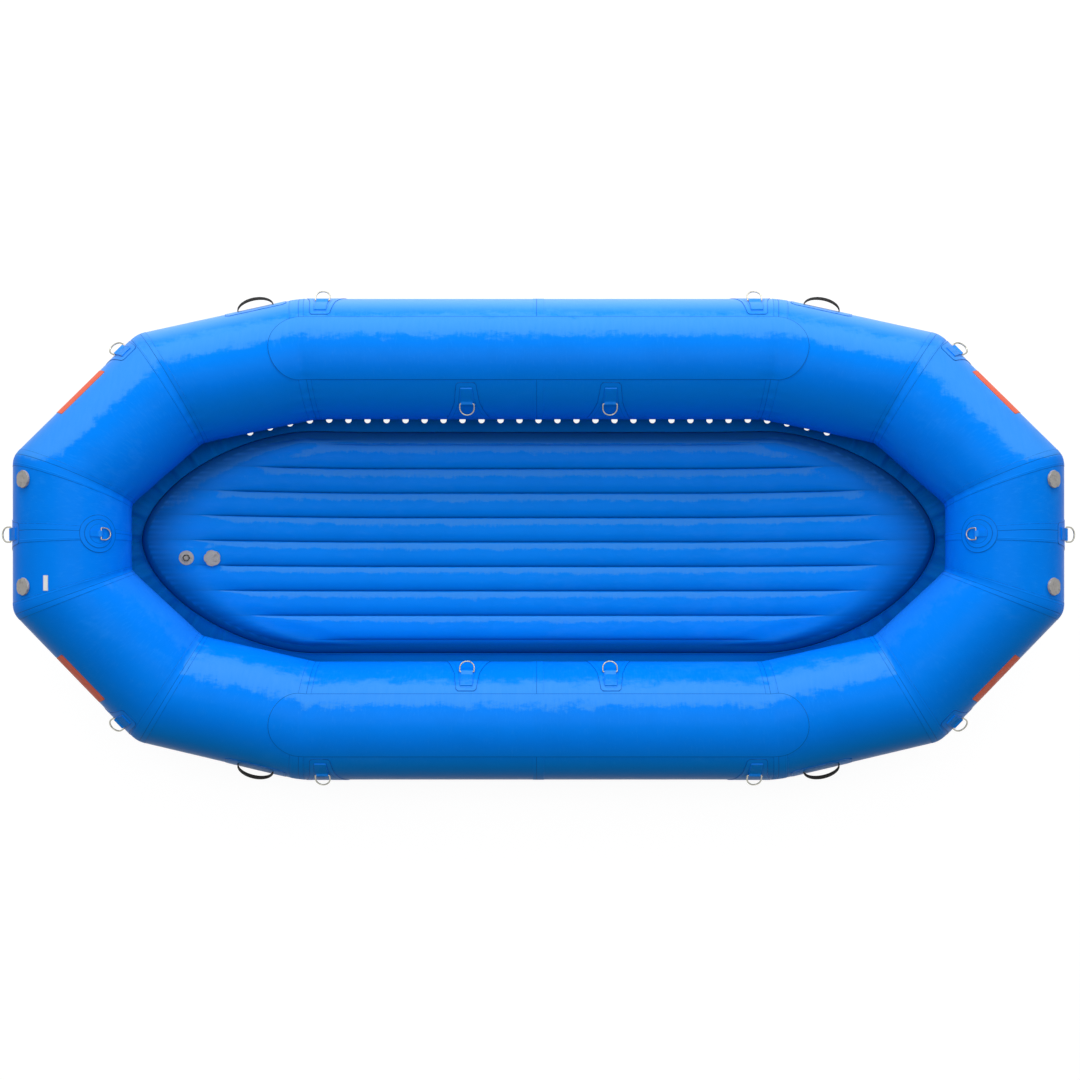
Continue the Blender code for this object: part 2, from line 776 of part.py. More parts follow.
def quarter_tube_marks(rim):
    """Tube segment and share for each edge point of the bow port quarter, by its place."""
    quarter = [point for point in rim if point.x > 0 and point.y >= -GLUE_GAP / 10]
    quarter.sort(key=lambda point: (-round(point.y, 5), point.x))
    corners = [0]
    for corner in range(1, len(quarter_axis()) - 1):
        place = ring(corner)[SKIRT_FACET]
        choices = range(corners[-1] + 1, len(quarter) - len(quarter_axis()) + 1 + corner)
        corners.append(min(choices, key=lambda index: (quarter[index].xy - place.xy).length))
    corners.append(len(quarter) - 1)
    marks = {}
    for segment, (start, end) in enumerate(zip(corners, corners[1:])):
        run = [(quarter[index + 1].xy - quarter[index].xy).length for index in range(start, end)]
        total = sum(run)
        for index in range(start, end + 1):
            share = sum(run[: index - start]) / total
            if segment == 0:
                share = quarter[index].x / quarter[end].x
            key = (round(abs(quarter[index].x), 6), round(abs(quarter[index].y), 6))
            marks[key] = (segment, share)
    return marks


def drain_hole_places():
    """The drain holes of the port side, one pitch apart on the middle of the skirt."""
    line = [mix(section[-2], section[2], DRAIN_HOLE_PLACE_share) for section in skirt_sections()]
    line = sorted((point for point in line if point.y > 0), key=lambda point: point.x)
    count = int(DRAIN_HOLE_REACH / DRAIN_HOLE_PITCH)
    places = []
    for index in range(-count, count + 1):
        x = index * DRAIN_HOLE_PITCH
        for before, after in zip(line, line[1:]):
            if before.x <= x < after.x:
                places.append(mix(before, after, (x - before.x) / (after.x - before.x)))
    return places


def drain_hole_cutter():
    """Upright prisms for the drain holes of both sides."""
    prisms = []
    for side in (1, -1):
        for place in mirrored(drain_hole_places(), (1, side)):
            sections = []
            for height in (-DRAIN_HOLE_RADIUS, DRAIN_HOLE_RADIUS):
                section = []
                for step in range(DRAIN_HOLE_SIDES):
                    angle = 2 * math.pi * (step + 0.5) / DRAIN_HOLE_SIDES
                    spoke = Vector((math.cos(angle), math.sin(angle), 0)) * DRAIN_HOLE_RADIUS
                    section.append(place + spoke + Vector((0, 0, height)))
                sections.append(section)
            prisms.append(loft(sections, closed=False))
    return make_object("drain_holes", *gathered(prisms), BLUE)


def make_skirt():
    points, faces = loft(skirt_sections(), diagonals=SKIRT_DIAGONALS)
    skirt = make_object("drain_skirt", points, faces, DARK_BLUE)
    cut(skirt, drain_hole_cutter())


def eye_height(wire):
    """Height of the ring's bar above the facet under its patch."""
    return GLUE_GAP + PATCH + wire / 2 + EYE_GAP + EYE_WALL - GLUE_GAP


def eye_solid(frame, wire, width):
    """The webbing rolled round the ring's bar, with its tail running onto the strap."""
    height = eye_height(wire)
    bore = (wire / 2 + EYE_GAP) / math.cos(math.pi / EYE_SIDES)
    outer = wire / 2 + EYE_GAP + EYE_WALL
    top = GLUE_GAP + PATCH + WEBBING - EYE_INSET - height
    bottom = GLUE_GAP + PATCH * SINK_shares["eye"] - height
    half = width / 2 - EYE_INSET
    sections = []
    for step in range(EYE_SIDES):
        angle = 2 * math.pi * (step + 0.5) / EYE_SIDES
        spoke = (math.cos(angle), math.sin(angle))
        rim = (outer * spoke[0], outer * spoke[1])
        if spoke[0] < -EYE_CORNER_share:
            rim = (-EYE_TAIL, top if spoke[1] > 0 else bottom)
        elif spoke[1] < -EYE_CORNER_share:
            rim = (rim[0], bottom)
        hole = (bore * spoke[0], bore * spoke[1])
        corners = []
        for side, place in ((-half, rim), (half, rim), (half, hole), (-half, hole)):
            corners.append(frame @ Vector((place[0], side, place[1] + height)))
        sections.append(corners)
    return loft(sections)


def d_path(half_width, length, wire):
    """Centre line of a D ring: a straight bar, two sides and a round bow."""
    bend = wire * RING_BEND_share
    straight = length - half_width
    points = [(0, -half_width + bend), (0, half_width - bend), (bend, half_width)]
    for step in range(RING_BOW_STEPS + 1):
        angle = math.pi / 2 - math.pi * step / RING_BOW_STEPS
        points.append((straight + half_width * math.cos(angle), half_width * math.sin(angle)))
    points.append((bend, -half_width))
    return points


def droop(radius, wire, layers):
    """How far a ring hangs below the tube's tangent before it rests on the layers glued there."""
    clear = eye_height(wire) - GLUE_GAP - layers - wire / 2 - REST_GAP
    return math.atan2(clear, radius * math.tan(FACET_TURN / 2))


def rest_hang(frame):
    """Angle below the tube's tangent at which the stiff webbing holds a ring, negative when lifted."""
    slope = math.asin(-frame.col[0].z)
    return RING_REST_FALL - slope


def ring_solid(frame, half_width, length, wire, hang):
    """A wire D ring in its frame, turned by hang below the tube's tangent."""
    path = []
    for x, y in d_path(half_width, length, wire):
        path.append(Vector((x * math.cos(hang), y, -x * math.sin(hang))))
    normal = Vector((math.sin(hang), 0, math.cos(hang)))
    reach = wire / 2
    sections = []
    for index, point in enumerate(path):
        before = (point - path[index - 1]).normalized()
        after = (path[(index + 1) % len(path)] - point).normalized()
        way = (before + after).normalized()
        side = way.cross(normal)
        stretch = 1 / max(way.dot(after), MITRE_LIMIT_share)
        section = []
        for step in range(WIRE_SIDES):
            angle = 2 * math.pi * (step + 0.5) / WIRE_SIDES
            across = side * (reach * stretch * math.cos(angle))
            section.append(frame @ (point + across + normal * (reach * math.sin(angle))))
        sections.append(section)
    return loft(sections)


def ring_spots():
    """Segment, place along, turn and downhill way of the lashing rings of a quarter."""
    outer_x = SIDE_HALF_LENGTH - SIDE_OUTER_RING_INSET
    inner_x = SIDE_HALF_LENGTH * SIDE_INNER_RING_share
    return {
        "side_outer": (0, outer_x, facet_middle(0, SIDE_OUTER_RING_TURN), -1),
        "side_inner": (0, inner_x, facet_middle(0, SIDE_INNER_RING_TURN), 1),
        "quarter": (2, QUARTER_RING_ALONG, facet_middle(2, QUARTER_RING_TURN), -1),
    }


def end_ring_spots():
    return {
        "end_outer": (3, END_HALF_LENGTH, facet_middle(3, END_OUTER_RING_TURN), -1),
        "end_inner": (3, END_HALF_LENGTH, facet_middle(3, END_INNER_RING_TURN), 1),
    }


def bar_frame(spot, wire):
    """Frame on the bar of a ring, lifted off the tube by the patch and the webbing."""
    segment, along, turn, downhill = spot
    frame = surface_frame(segment, along, turn, downhill)
    return frame @ Matrix.Translation((0, 0, eye_height(wire)))


def ring_strap(spot, back, width):
    """Flat webbing glued on a patch from back behind the ring's bar up to the rolled eye."""
    segment, along, turn, downhill = spot
    start = turn - downhill * back / local_radius(segment, along)
    outline = [(0, width / 2), (back - EYE_TAIL * EYE_LAP_share, width / 2)]
    low = GLUE_GAP + PATCH * SINK_shares["webbing"]
    return tube_sheet(segment, along, start, downhill, outline, low, GLUE_GAP + PATCH + WEBBING)


def fuse_strap_and_eye(name, spot, signs, patch, back, wire, width):
    """Joins a ring's webbing, glued strap and rolled eye, to its patch."""
    segment, along, turn, downhill = spot
    strap = ring_strap(spot, back, width)
    webbing = make_object("webbing_" + name, *strap, BLUE, signs=signs)
    eye = eye_solid(surface_frame(segment, along, turn, downhill), wire, width)
    fuse(patch, [webbing, make_object("eye_" + name, *eye, BLUE, signs=signs)])


def make_d_ring(name, spot, signs):
    """A full size ring on its flared patch."""
    segment, along, turn, downhill = spot
    start = turn - downhill * PATCH_BAR / local_radius(segment, along)
    outline = [(place * PATCH_LENGTH, half * PATCH_WIDTH / 2) for place, half in PATCH_OUTLINE_shares]
    sheet = tube_sheet(segment, along, start, downhill, outline, GLUE_GAP, GLUE_GAP + PATCH)
    patch = make_object("patch_" + name, *sheet, BLUE, signs=signs)
    back = PATCH_BAR - PATCH_STRAP_START
    fuse_strap_and_eye(name, spot, signs, patch, back, RING_WIRE, RING_WEBBING_WIDTH)
    bar = bar_frame(spot, RING_WIRE)
    shape = ring_solid(bar, RING_HALF_WIDTH, RING_LENGTH, RING_WIRE, rest_hang(bar))
    make_object("d_ring_" + name, *shape, STEEL, origin=bar.translation, signs=signs)


def round_sheet(spot, size, low, high):
    """A round sheet about the middle of a small ring's patch."""
    segment, along, turn, downhill = spot
    outline = []
    for row in range(ROUND_ROWS + 1):
        angle = math.pi * row / ROUND_ROWS
        half = max(size * math.sin(angle), size * ROUND_TIP_share)
        outline.append((size - size * math.cos(angle), half))
    start = turn - downhill * (ROUND_BAR + size) / local_radius(segment, along)
    return tube_sheet(segment, along, start, downhill, outline, low, high)


def make_small_ring(name, spot, signs):
    """A small ring on a round patch, on the cockpit side of an end tube."""
    covered = PATCH * ROUND_COVER_share
    low = GLUE_GAP + PATCH * SINK_shares["cover"]
    disc = round_sheet(spot, ROUND_PATCH_RADIUS, GLUE_GAP, GLUE_GAP + PATCH)
    patch = make_object("patch_" + name, *disc, BLUE, signs=signs)
    disc = round_sheet(spot, ROUND_COVER_RADIUS, low, GLUE_GAP + covered)
    fuse(patch, [make_object("cover_" + name, *disc, BLUE, signs=signs)])
    back = ROUND_BAR + ROUND_STRAP_BACK
    fuse_strap_and_eye(name, spot, signs, patch, back, SMALL_RING_WIRE, SMALL_RING_WEBBING_WIDTH)
    bar = bar_frame(spot, SMALL_RING_WIRE)
    hang = droop(local_radius(spot[0], spot[1]), SMALL_RING_WIRE, covered)
    shape = ring_solid(bar, SMALL_RING_HALF_WIDTH, SMALL_RING_LENGTH, SMALL_RING_WIRE, hang)
    make_object("d_ring_" + name, *shape, STEEL, origin=bar.translation, signs=signs)


def make_rings():
    for quarter, signs in QUARTERS.items():
        for place, spot in ring_spots().items():
            make_d_ring(place + "_" + quarter, spot, signs)
    for end, signs in ENDS.items():
        spots = end_ring_spots()
        make_d_ring("end_outer_" + end, spots["end_outer"], signs)
        make_small_ring("end_inner_" + end, spots["end_inner"], signs)


def valve_frame():
    """Seat of the chamber valve on the outer side of the end tube."""
    return surface_frame(3, END_HALF_LENGTH - VALVE_OFFSET, facet_middle(3, VALVE_TURN))


def floor_top(x, across):
    """Height of the floor's faceted top at a point."""
    heights = []
    rows = floor_rows()
    low = max(index for index in range(len(rows) - 1) if rows[index] <= across)
    for line in floor_shell()[0][low:low + 2]:
        near = max(index for index in range(len(line) - 1) if line[index].x <= x)
        share = (x - line[near].x) / (line[near + 1].x - line[near].x)
        heights.append(mix(line[near].z, line[near + 1].z, share))
    return mix(heights[0], heights[1], (across - rows[low]) / (rows[low + 1] - rows[low]))


def floor_valve_frame(distance):
    """Seat of a floor valve towards the stern, tilted with the floor and clear of its crests."""
    x, across = -distance, -FLOOR_VALVE_Y
    reach = VALVE_FLANGE_RADIUS
    ahead = floor_top(x + reach, across) - floor_top(x - reach, across)
    beside = floor_top(x, across + reach) - floor_top(x, across - reach)
    first = Vector((reach * 2, 0, ahead)).normalized()
    normal = first.cross(Vector((0, reach * 2, beside))).normalized()
    second = normal.cross(first)
    rise = 0
    for step in range(VALVE_SIDES):
        angle = 2 * math.pi * step / VALVE_SIDES
        across_step, along_step = reach * math.sin(angle), reach * math.cos(angle)
        plane = -(normal.x * along_step + normal.y * across_step) / normal.z
        rise = max(rise, floor_top(x + along_step, across + across_step) - floor_top(x, across) - plane)
    seat = floor_top(x, across) + rise + FLOOR_VALVE_RISE
    return Matrix((
        (first.x, second.x, normal.x, x),
        (first.y, second.y, normal.y, across),
        (first.z, second.z, normal.z, seat),
        (0, 0, 0, 1),
    ))


def upright(radius, top, bottom):
    """Profile of a plain cylinder."""
    return [(0, top), (radius, top), (radius, bottom), (0, bottom)]


def valve_hole_shape(frame, barrel, depth):
    """Shape of a hole that a valve's barrel fits, through a skin of the given depth."""
    radius = (barrel + VALVE_FIT_GAP) / math.cos(math.pi / HOLE_SIDES)
    return turned(frame, upright(radius, OVERRUN, -depth - OVERRUN), HOLE_SIDES)


def scallop(angle, radius):
    """The cap's grip: shallow hollows round its rim, and none in its bore."""
    depth = CAP_SCALLOP_DEPTH if radius > CAP_RADIUS - CAP_BEVEL * 2 else 0
    return radius - depth * (0.5 + 0.5 * math.cos(CAP_SCALLOPS * angle)) ** 2


def make_valve(name, frame, signs, skin_depth):
    """A push valve clamped in the skin, and the bayonet cap that turns on its collar."""
    base = GLUE_GAP
    flange = base + VALVE_FLANGE
    collar = flange + VALVE_COLLAR_HEIGHT
    nut = -GLUE_GAP - skin_depth
    body = [
        (VALVE_BORE_RADIUS, collar), (VALVE_COLLAR_RADIUS, collar), (VALVE_COLLAR_RADIUS, flange),
        (VALVE_FLANGE_RADIUS, flange), (VALVE_FLANGE_RADIUS, base), (VALVE_BARREL_RADIUS, base),
        (VALVE_BARREL_RADIUS, nut), (VALVE_NUT_RADIUS, nut), (VALVE_NUT_RADIUS, nut - VALVE_NUT),
        (VALVE_BORE_RADIUS, -VALVE_BARREL_DEPTH),
    ]
    points, faces = turned(frame, body, VALVE_SIDES)
    make_object("valve_body_" + name, points, faces, GREY, signs=signs)
    inner = (VALVE_COLLAR_RADIUS + VALVE_FIT_GAP) / math.cos(math.pi / VALVE_SIDES)
    foot = flange + VALVE_FIT_GAP
    roof = collar + VALVE_FIT_GAP
    top = roof + CAP_TOP
    cap = [
        (0, top), (CAP_RADIUS - CAP_BEVEL, top), (CAP_RADIUS, top - CAP_BEVEL), (CAP_RADIUS, foot),
        (inner, foot), (inner, roof), (0, roof),
    ]
    points, faces = turned(frame, cap, VALVE_SIDES, scallop)
    make_object("valve_cap_" + name, points, faces, GREY, origin=frame.translation, signs=signs)


def make_relief_valve():
    """The floor's pressure relief valve: flange with a hexagon collar, and its sprung poppet."""
    frame = floor_valve_frame(RELIEF_VALVE_X)
    base = GLUE_GAP
    flange = base + RELIEF_FLANGE
    seat = flange
    body = [
        (RELIEF_SHAFT_RADIUS + VALVE_FIT_GAP, seat), (RELIEF_FLANGE_RADIUS - CAP_BEVEL, flange),
        (RELIEF_FLANGE_RADIUS, flange - CAP_BEVEL), (RELIEF_FLANGE_RADIUS, base),
        (RELIEF_BARREL_RADIUS, base), (RELIEF_BARREL_RADIUS, -RELIEF_BARREL_DEPTH),
        (RELIEF_SHAFT_RADIUS + VALVE_FIT_GAP, -RELIEF_BARREL_DEPTH),
    ]
    valve = make_object("relief_valve_body", *turned(frame, body, VALVE_SIDES), GREY)
    hexagon = [
        (RELIEF_CUP_RADIUS, seat - RELIEF_FLANGE / 2), (RELIEF_CUP_RADIUS, flange + RELIEF_HEX_HEIGHT),
        (RELIEF_HEX_RADIUS, flange + RELIEF_HEX_HEIGHT), (RELIEF_HEX_RADIUS, seat - RELIEF_FLANGE / 2),
    ]
    fuse(valve, [make_object("relief_valve_hexagon", *turned(frame, hexagon, 6), BLACK)])
    under = seat + VALVE_FIT_GAP
    button_radius = RELIEF_CUP_RADIUS * math.cos(math.pi / 6) - VALVE_FIT_GAP * 2
    stop = -RELIEF_BARREL_DEPTH - RELIEF_TRAVEL - VALVE_FIT_GAP * 2
    poppet = [
        (0, under + RELIEF_BUTTON), (button_radius, under + RELIEF_BUTTON), (button_radius, under),
        (RELIEF_SHAFT_RADIUS, under), (RELIEF_SHAFT_RADIUS, stop), (RELIEF_STOP_RADIUS, stop),
        (RELIEF_STOP_RADIUS, stop - RELIEF_BUTTON), (0, stop - RELIEF_BUTTON),
    ]
    shape = turned(frame, poppet, VALVE_SIDES)
    make_object("relief_valve_poppet", *shape, GREY, origin=frame.translation)


def make_valves():
    drop = (VALVE_NUT_RADIUS - END_RADIUS * math.tan(FACET_TURN / 2)) * math.tan(FACET_TURN)
    for quarter, signs in QUARTERS.items():
        make_valve(quarter, valve_frame(), signs, SKIN + max(drop, 0))
    make_valve("floor", floor_valve_frame(FLOOR_VALVE_X), (1, 1), FLOOR_BOSS)
    make_relief_valve()


def make_handle(quarter, signs):
    """A webbing loop standing out from a long patch on the shoulder."""
    turn = facet_middle(1, HANDLE_TURN)
    radius = local_radius(1, HANDLE_ALONG)
    outline = [
        (place * HANDLE_PATCH_WIDTH, half * HANDLE_PATCH_LENGTH / 2) for place, half in HANDLE_ROUND_shares
    ]
    start = turn + HANDLE_PATCH_WIDTH / 2 / radius
    sheet = tube_sheet(1, HANDLE_ALONG, start, -1, outline, GLUE_GAP, GLUE_GAP + PATCH)
    patch = make_object("carry_handle_" + quarter, *sheet, BLACK, signs=signs)
    frame = surface_frame(1, HANDLE_ALONG, turn)
    sections = []
    foot = GLUE_GAP + PATCH / 2
    for step in range(HANDLE_STEPS + 1):
        angle = math.pi * step / HANDLE_STEPS
        centre = Vector((0, -HANDLE_SPAN / 2 * math.cos(angle), foot + HANDLE_BULGE * math.sin(angle)))
        out = Vector((0, HANDLE_SPAN / 2 * math.sin(angle), HANDLE_BULGE * math.cos(angle))).normalized()
        out = Vector((0, -out.z, out.y))
        half = Vector((HANDLE_STRAP_WIDTH / 2, 0, 0))
        thick = out * (HANDLE_STRAP / 2)
        corners = (-half - thick, half - thick, half + thick, -half + thick)
        sections.append([frame @ (centre + corner) for corner in corners])
    loop = make_object("loop_" + quarter, *loft(sections, closed=False), BLACK, signs=signs)
    fuse(patch, [loop])


def make_pad(side, signs):
    """The chafe pad along the top of a side tube, with half round ends past the mitres."""
    middle = math.pi / 2
    turn_half = PAD_HALF_WIDTH / SIDE_RADIUS
    lines = facet_lines_between(0, middle - turn_half, middle + turn_half)
    lines = [middle - turn_half] + lines + [middle + turn_half]
    turns = []
    for first, second in zip(lines, lines[1:]):
        turns += [first, (first + second) / 2]
    turns.append(lines[-1])
    grids = []
    for lift in (GLUE_GAP, GLUE_GAP + PAD):
        grid = []
        for turn in turns:
            offset = (turn - middle) * SIDE_RADIUS
            bulge = math.sqrt(max(PAD_HALF_WIDTH**2 - offset**2, 0))
            grid.append(pad_row(turn, bulge, lift))
        grids.append(grid)
    points, faces = slab(*grids)
    make_object("chafe_pad_" + side, points, faces, BLUE, signs=signs)


def pad_row(turn, bulge, lift):
    """Points of the pad at one turn: its bulges on both shoulders and the two mitres."""
    step = turn / FACET_TURN - 0.5
    low = math.floor(step)
    corners = []
    for section in (ring(1, lift), ring(2, lift)):
        corners.append(mix(section[low % TUBE_SIDES], section[(low + 1) % TUBE_SIDES], step - low))
    way = (corners[1] - corners[0]).normalized()
    tip = corners[0] + way * bulge
    half = [tip, corners[0]]
    return [Vector((-point.x, point.y, point.z)) for point in half] + list(reversed(half))


def main():
    clear_scene()
    for quarter, signs in QUARTERS.items():
        make_chamber(quarter, signs)
        make_handle(quarter, signs)
    make_baffles()
    make_floor()
    make_skirt()
    make_rings()
    make_valves()
    make_pad("port", (1, 1))
    make_pad("starboard", (1, -1))


main()
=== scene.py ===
"""Visual model of an inflatable whitewater raft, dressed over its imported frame.

Lengths are in metres: bow at +X, port at +Y, up at +Z. The tube pieces are made
for the bow port quarter and mirrored into the other quarters.
"""

import logging
import math
from dataclasses import dataclass
from enum import Enum
from typing import Any, Callable, Optional, Sequence

import bmesh
import bpy
import numpy as np
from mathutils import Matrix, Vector


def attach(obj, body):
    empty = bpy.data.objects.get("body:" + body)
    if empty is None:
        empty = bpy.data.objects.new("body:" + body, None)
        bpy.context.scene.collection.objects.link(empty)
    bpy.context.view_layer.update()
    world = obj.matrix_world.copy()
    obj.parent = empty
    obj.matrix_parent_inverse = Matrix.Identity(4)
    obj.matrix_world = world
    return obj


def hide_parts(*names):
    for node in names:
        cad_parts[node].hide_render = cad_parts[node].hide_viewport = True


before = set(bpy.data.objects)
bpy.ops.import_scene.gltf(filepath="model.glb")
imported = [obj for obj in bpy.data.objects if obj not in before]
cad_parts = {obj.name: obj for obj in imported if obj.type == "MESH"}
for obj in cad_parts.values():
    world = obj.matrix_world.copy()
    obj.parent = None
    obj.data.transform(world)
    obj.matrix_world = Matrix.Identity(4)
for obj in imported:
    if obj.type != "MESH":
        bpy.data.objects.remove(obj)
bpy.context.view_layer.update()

LOG = logging.getLogger("raft")
HULL = "hull"
FACETS = 32
SEAMS = (1, 2, 3)
EDGE = 0.0007
SINK = -0.0005
Array = np.ndarray
Colour = tuple[float, float, float]
BLUE: Colour = (0.0, 0.224, 0.94)


class Mirror(Enum):
    """Places whose values are the signs that mirror the bow port quarter into them."""

    @property
    def tag(self) -> str:
        """The place's name as the frame writes it."""
        return self.name.lower()


class Quarter(Mirror):
    """The four quarters of the raft."""

    BOW_PORT = (1, 1)
    BOW_STARBOARD = (1, -1)
    STERN_PORT = (-1, 1)
    STERN_STARBOARD = (-1, -1)


class End(Mirror):
    """The two ends of the raft."""

    BOW = (1, 1)
    STERN = (-1, 1)


class Slot(Enum):
    """The record's material slots."""

    TUBE = "tube_skin"
    FLOOR = "floor_skin"
    SKIRT = "skirt_skin"
    BAFFLE = "baffle_fabric"
    PATCH = "patch_skin"
    PAD = "chafe_pad"
    WEBBING = "handle_webbing"
    STEEL = "ring_steel"
    PLASTIC = "valve_plastic"


# Shader helpers.


class Value:
    """A node socket that takes part in Python sums, each adding a Math node."""

    def __init__(self, tree: bpy.types.NodeTree, socket: Any) -> None:
        """Keeps the output socket and the node tree that it is in."""
        self.tree = tree
        self.socket = socket

    def math(self, operation: str, *others: Any, first: bool = True) -> "Value":
        """Adds one Math node.

        Args:
            operation: Blender's name of the operation.
            others: Numbers or values for the other inputs.
            first: Whether this value is the first input.

        Returns:
            The node's result.
        """
        node = self.tree.nodes.new("ShaderNodeMath")
        node.operation = operation
        inputs = (self, *others) if first else (*others, self)
        for index, item in enumerate(inputs):
            if isinstance(item, Value):
                self.tree.links.new(item.socket, node.inputs[index])
            else:
                node.inputs[index].default_value = item
        return Value(self.tree, node.outputs[0])

    def __add__(self, other: Any) -> "Value":
        """Adds a number or value."""
        return self.math("ADD", other)

    __radd__ = __add__

    def __sub__(self, other: Any) -> "Value":
        """Takes a number or value away."""
        return self.math("SUBTRACT", other)

    def __rsub__(self, other: Any) -> "Value":
        """Is taken away from a number."""
        return self.math("SUBTRACT", other, first=False)

    def __mul__(self, other: Any) -> "Value":
        """Multiplies by a number or value."""
        return self.math("MULTIPLY", other)

    def __truediv__(self, other: Any) -> "Value":
        """Divides by a number or value."""
        return self.math("DIVIDE", other)

    def __abs__(self) -> "Value":
        """The size without the sign."""
        return self.math("ABSOLUTE")

    def sine(self) -> "Value":
        """The sine of this many turns."""
        return (self * math.tau).math("SINE")

    def smooth(self, low: float, high: float) -> "Value":
        """A soft step.

        Args:
            low: Where the result is 0.
            high: Where the result is 1.

        Returns:
            The step's value.
        """
        node = self.tree.nodes.new("ShaderNodeMapRange")
        node.interpolation_type = "SMOOTHSTEP"
        self.tree.links.new(self.socket, node.inputs["Value"])
        node.inputs["From Min"].default_value = low
        node.inputs["From Max"].default_value = high
        return Value(self.tree, node.outputs["Result"])

    def line(self, centre: float, half: float, soft: float) -> "Value":
        """1 in a band of half width half about centre, with soft edges, and 0 away from it."""
        return 1 - abs(self - centre).smooth(half - soft / 2, half + soft / 2)


class Shader:
    """One material's node tree."""

    def __init__(self, name: str) -> None:
        """Starts a material with its Principled BSDF.

        Args:
            name: The material's name.
        """
        self.material = bpy.data.materials.new(name)
        self.material.use_nodes = True
        self.tree = self.material.node_tree
        self.surface = self.tree.nodes["Principled BSDF"]
        self.place = self.node("ShaderNodeTexCoord").outputs["Object"]

    def node(self, kind: str, settings: Optional[dict] = None, **sockets: Any) -> Any:
        """Adds a node.

        Args:
            kind: Blender's type of the node.
            settings: Properties that are set first.
            sockets: Values or links of its inputs, with _ for a space.

        Returns:
            The node.
        """
        made = self.tree.nodes.new(kind)
        for key, setting in (settings or {}).items():
            setattr(made, key, setting)
        for key, item in sockets.items():
            self.feed(made.inputs[key.replace("_", " ")], item)
        return made

    def feed(self, socket: Any, item: Any) -> None:
        """Links or sets one input socket.

        Args:
            socket: The input.
            item: A value, a node's output or a plain value.
        """
        if isinstance(item, Value):
            self.tree.links.new(item.socket, socket)
        elif isinstance(item, bpy.types.NodeSocket):
            self.tree.links.new(item, socket)
        elif isinstance(item, tuple) and len(item) == 3 and socket.type == "RGBA":
            socket.default_value = (*item, 1.0)
        else:
            socket.default_value = item

    def parts(self, vector: Any) -> tuple[Value, ...]:
        """The three numbers of a vector."""
        node = self.node("ShaderNodeSeparateXYZ", Vector=vector)
        return tuple(Value(self.tree, output) for output in node.outputs)

    def chart(self) -> tuple[Value, ...]:
        """The piece's own chart: two distances over its surface and a third number."""
        return self.parts(self.node("ShaderNodeAttribute", {"attribute_name": "chart"}).outputs["Vector"])

    def normal(self) -> tuple[Value, ...]:
        """The surface's direction in the raft's frame."""
        return self.parts(self.node("ShaderNodeNewGeometry").outputs["Normal"])

    def stretched(self, *stretch: float) -> Any:
        """The place multiplied axis by axis.

        Args:
            stretch: The three factors.

        Returns:
            The vector output.
        """
        node = self.node("ShaderNodeVectorMath", {"operation": "MULTIPLY"})
        self.feed(node.inputs[0], self.place)
        node.inputs[1].default_value = stretch
        return node.outputs[0]

    def noise(self, scale: float, detail: float = 3, rough: float = 0.55, vector: Any = None) -> Value:
        """Noise from 0 to 1.

        Args:
            scale: Features per metre.
            detail: Octaves.
            rough: Strength of the finer octaves.
            vector: Where it is read, or None for the place.

        Returns:
            The noise.
        """
        where = self.place if vector is None else vector
        sockets = {"Scale": scale, "Detail": detail, "Roughness": rough, "Vector": where}
        return Value(self.tree, self.node("ShaderNodeTexNoise", None, **sockets).outputs["Fac"])

    def colour(self, first: Any, second: Any, share: Any) -> Any:
        """A colour between two.

        Args:
            first: Colour at share 0.
            second: Colour at share 1.
            share: The share.

        Returns:
            The colour output.
        """
        node = self.node("ShaderNodeMix", {"data_type": "RGBA"})
        for index, item in ((0, share), (6, first), (7, second)):
            self.feed(node.inputs[index], item)
        return node.outputs[2]

    def bump(self, height: Value, depth: float, before: Any = None) -> Any:
        """A bump normal.

        Args:
            height: Relief from 0 to 1.
            depth: The relief's depth in metres.
            before: A normal that it is added to.

        Returns:
            The normal output.
        """
        node = self.node("ShaderNodeBump", Strength=1.0, Distance=depth, Height=height)
        if before is not None:
            self.feed(node.inputs["Normal"], before)
        return node.outputs["Normal"]

    def painted_sheen(
        self,
        tone: Any,
        least: float = 0.20,
        highlight: Colour = (0.05, 0.30, 0.86),
        outer_highlight: Colour = (0.17, 0.43, 0.95),
        starboard_shade: Colour = (0.0, 0.24, 0.68),
    ) -> Any:
        """Paints highlights and shade into the colour by the surface's direction, with ragged edges.

        Args:
            tone: The colour before.
            least: Slope at which the painted highlight begins.
            highlight: Colour of the painted highlight on the slopes that face port.
            outer_highlight: Colour of the painted highlight on the outermost port side.
            starboard_shade: Colour of the painted shade on the slopes that face starboard.

        Returns:
            The colour output.
        """
        ahead, slope, up = self.normal()
        _, across, _ = self.parts(self.place)
        # Painted light: a highlight band on port-facing slopes, a highlight on the outer port side, shade on
        # starboard-facing slopes.
        outer = across.smooth(0.35, 0.60) * up.smooth(0.0, 0.40)
        ragged = self.noise(14, 9, 0.74, self.stretched(0.8, 1.5, 1.5))
        streaks = self.noise(30, 4, 0.6, self.stretched(3.0, 0.5, 0.5))
        edge = slope - abs(ahead) * 0.2 + across * 0.09 + (ragged - 0.5) * 0.55 + (streaks - 0.5) * 0.14
        band = edge.smooth(least, least + 0.13) * (1 - edge.smooth(0.56, 0.72))
        band = band * (1 - abs(ahead).smooth(0.30, 0.55) * (1 - across.smooth(-0.2, 0.2)) * 0.75)
        tone = self.colour(tone, starboard_shade, (1 - slope).smooth(1.25, 1.85) * 0.75)
        tone = self.colour(tone, highlight, band * (0.55 + streaks * 0.45))
        return self.colour(tone, outer_highlight, slope.smooth(0.50, 0.90) * outer * 0.7)

    def finish(self, **sockets: Any) -> bpy.types.Material:
        """Sets the Principled BSDF's inputs.

        Args:
            sockets: Values or links, with _ for a space.

        Returns:
            The material.
        """
        for key, item in sockets.items():
            self.feed(self.surface.inputs[key.replace("_", " ")], item)
        return self.material


# Finishes.


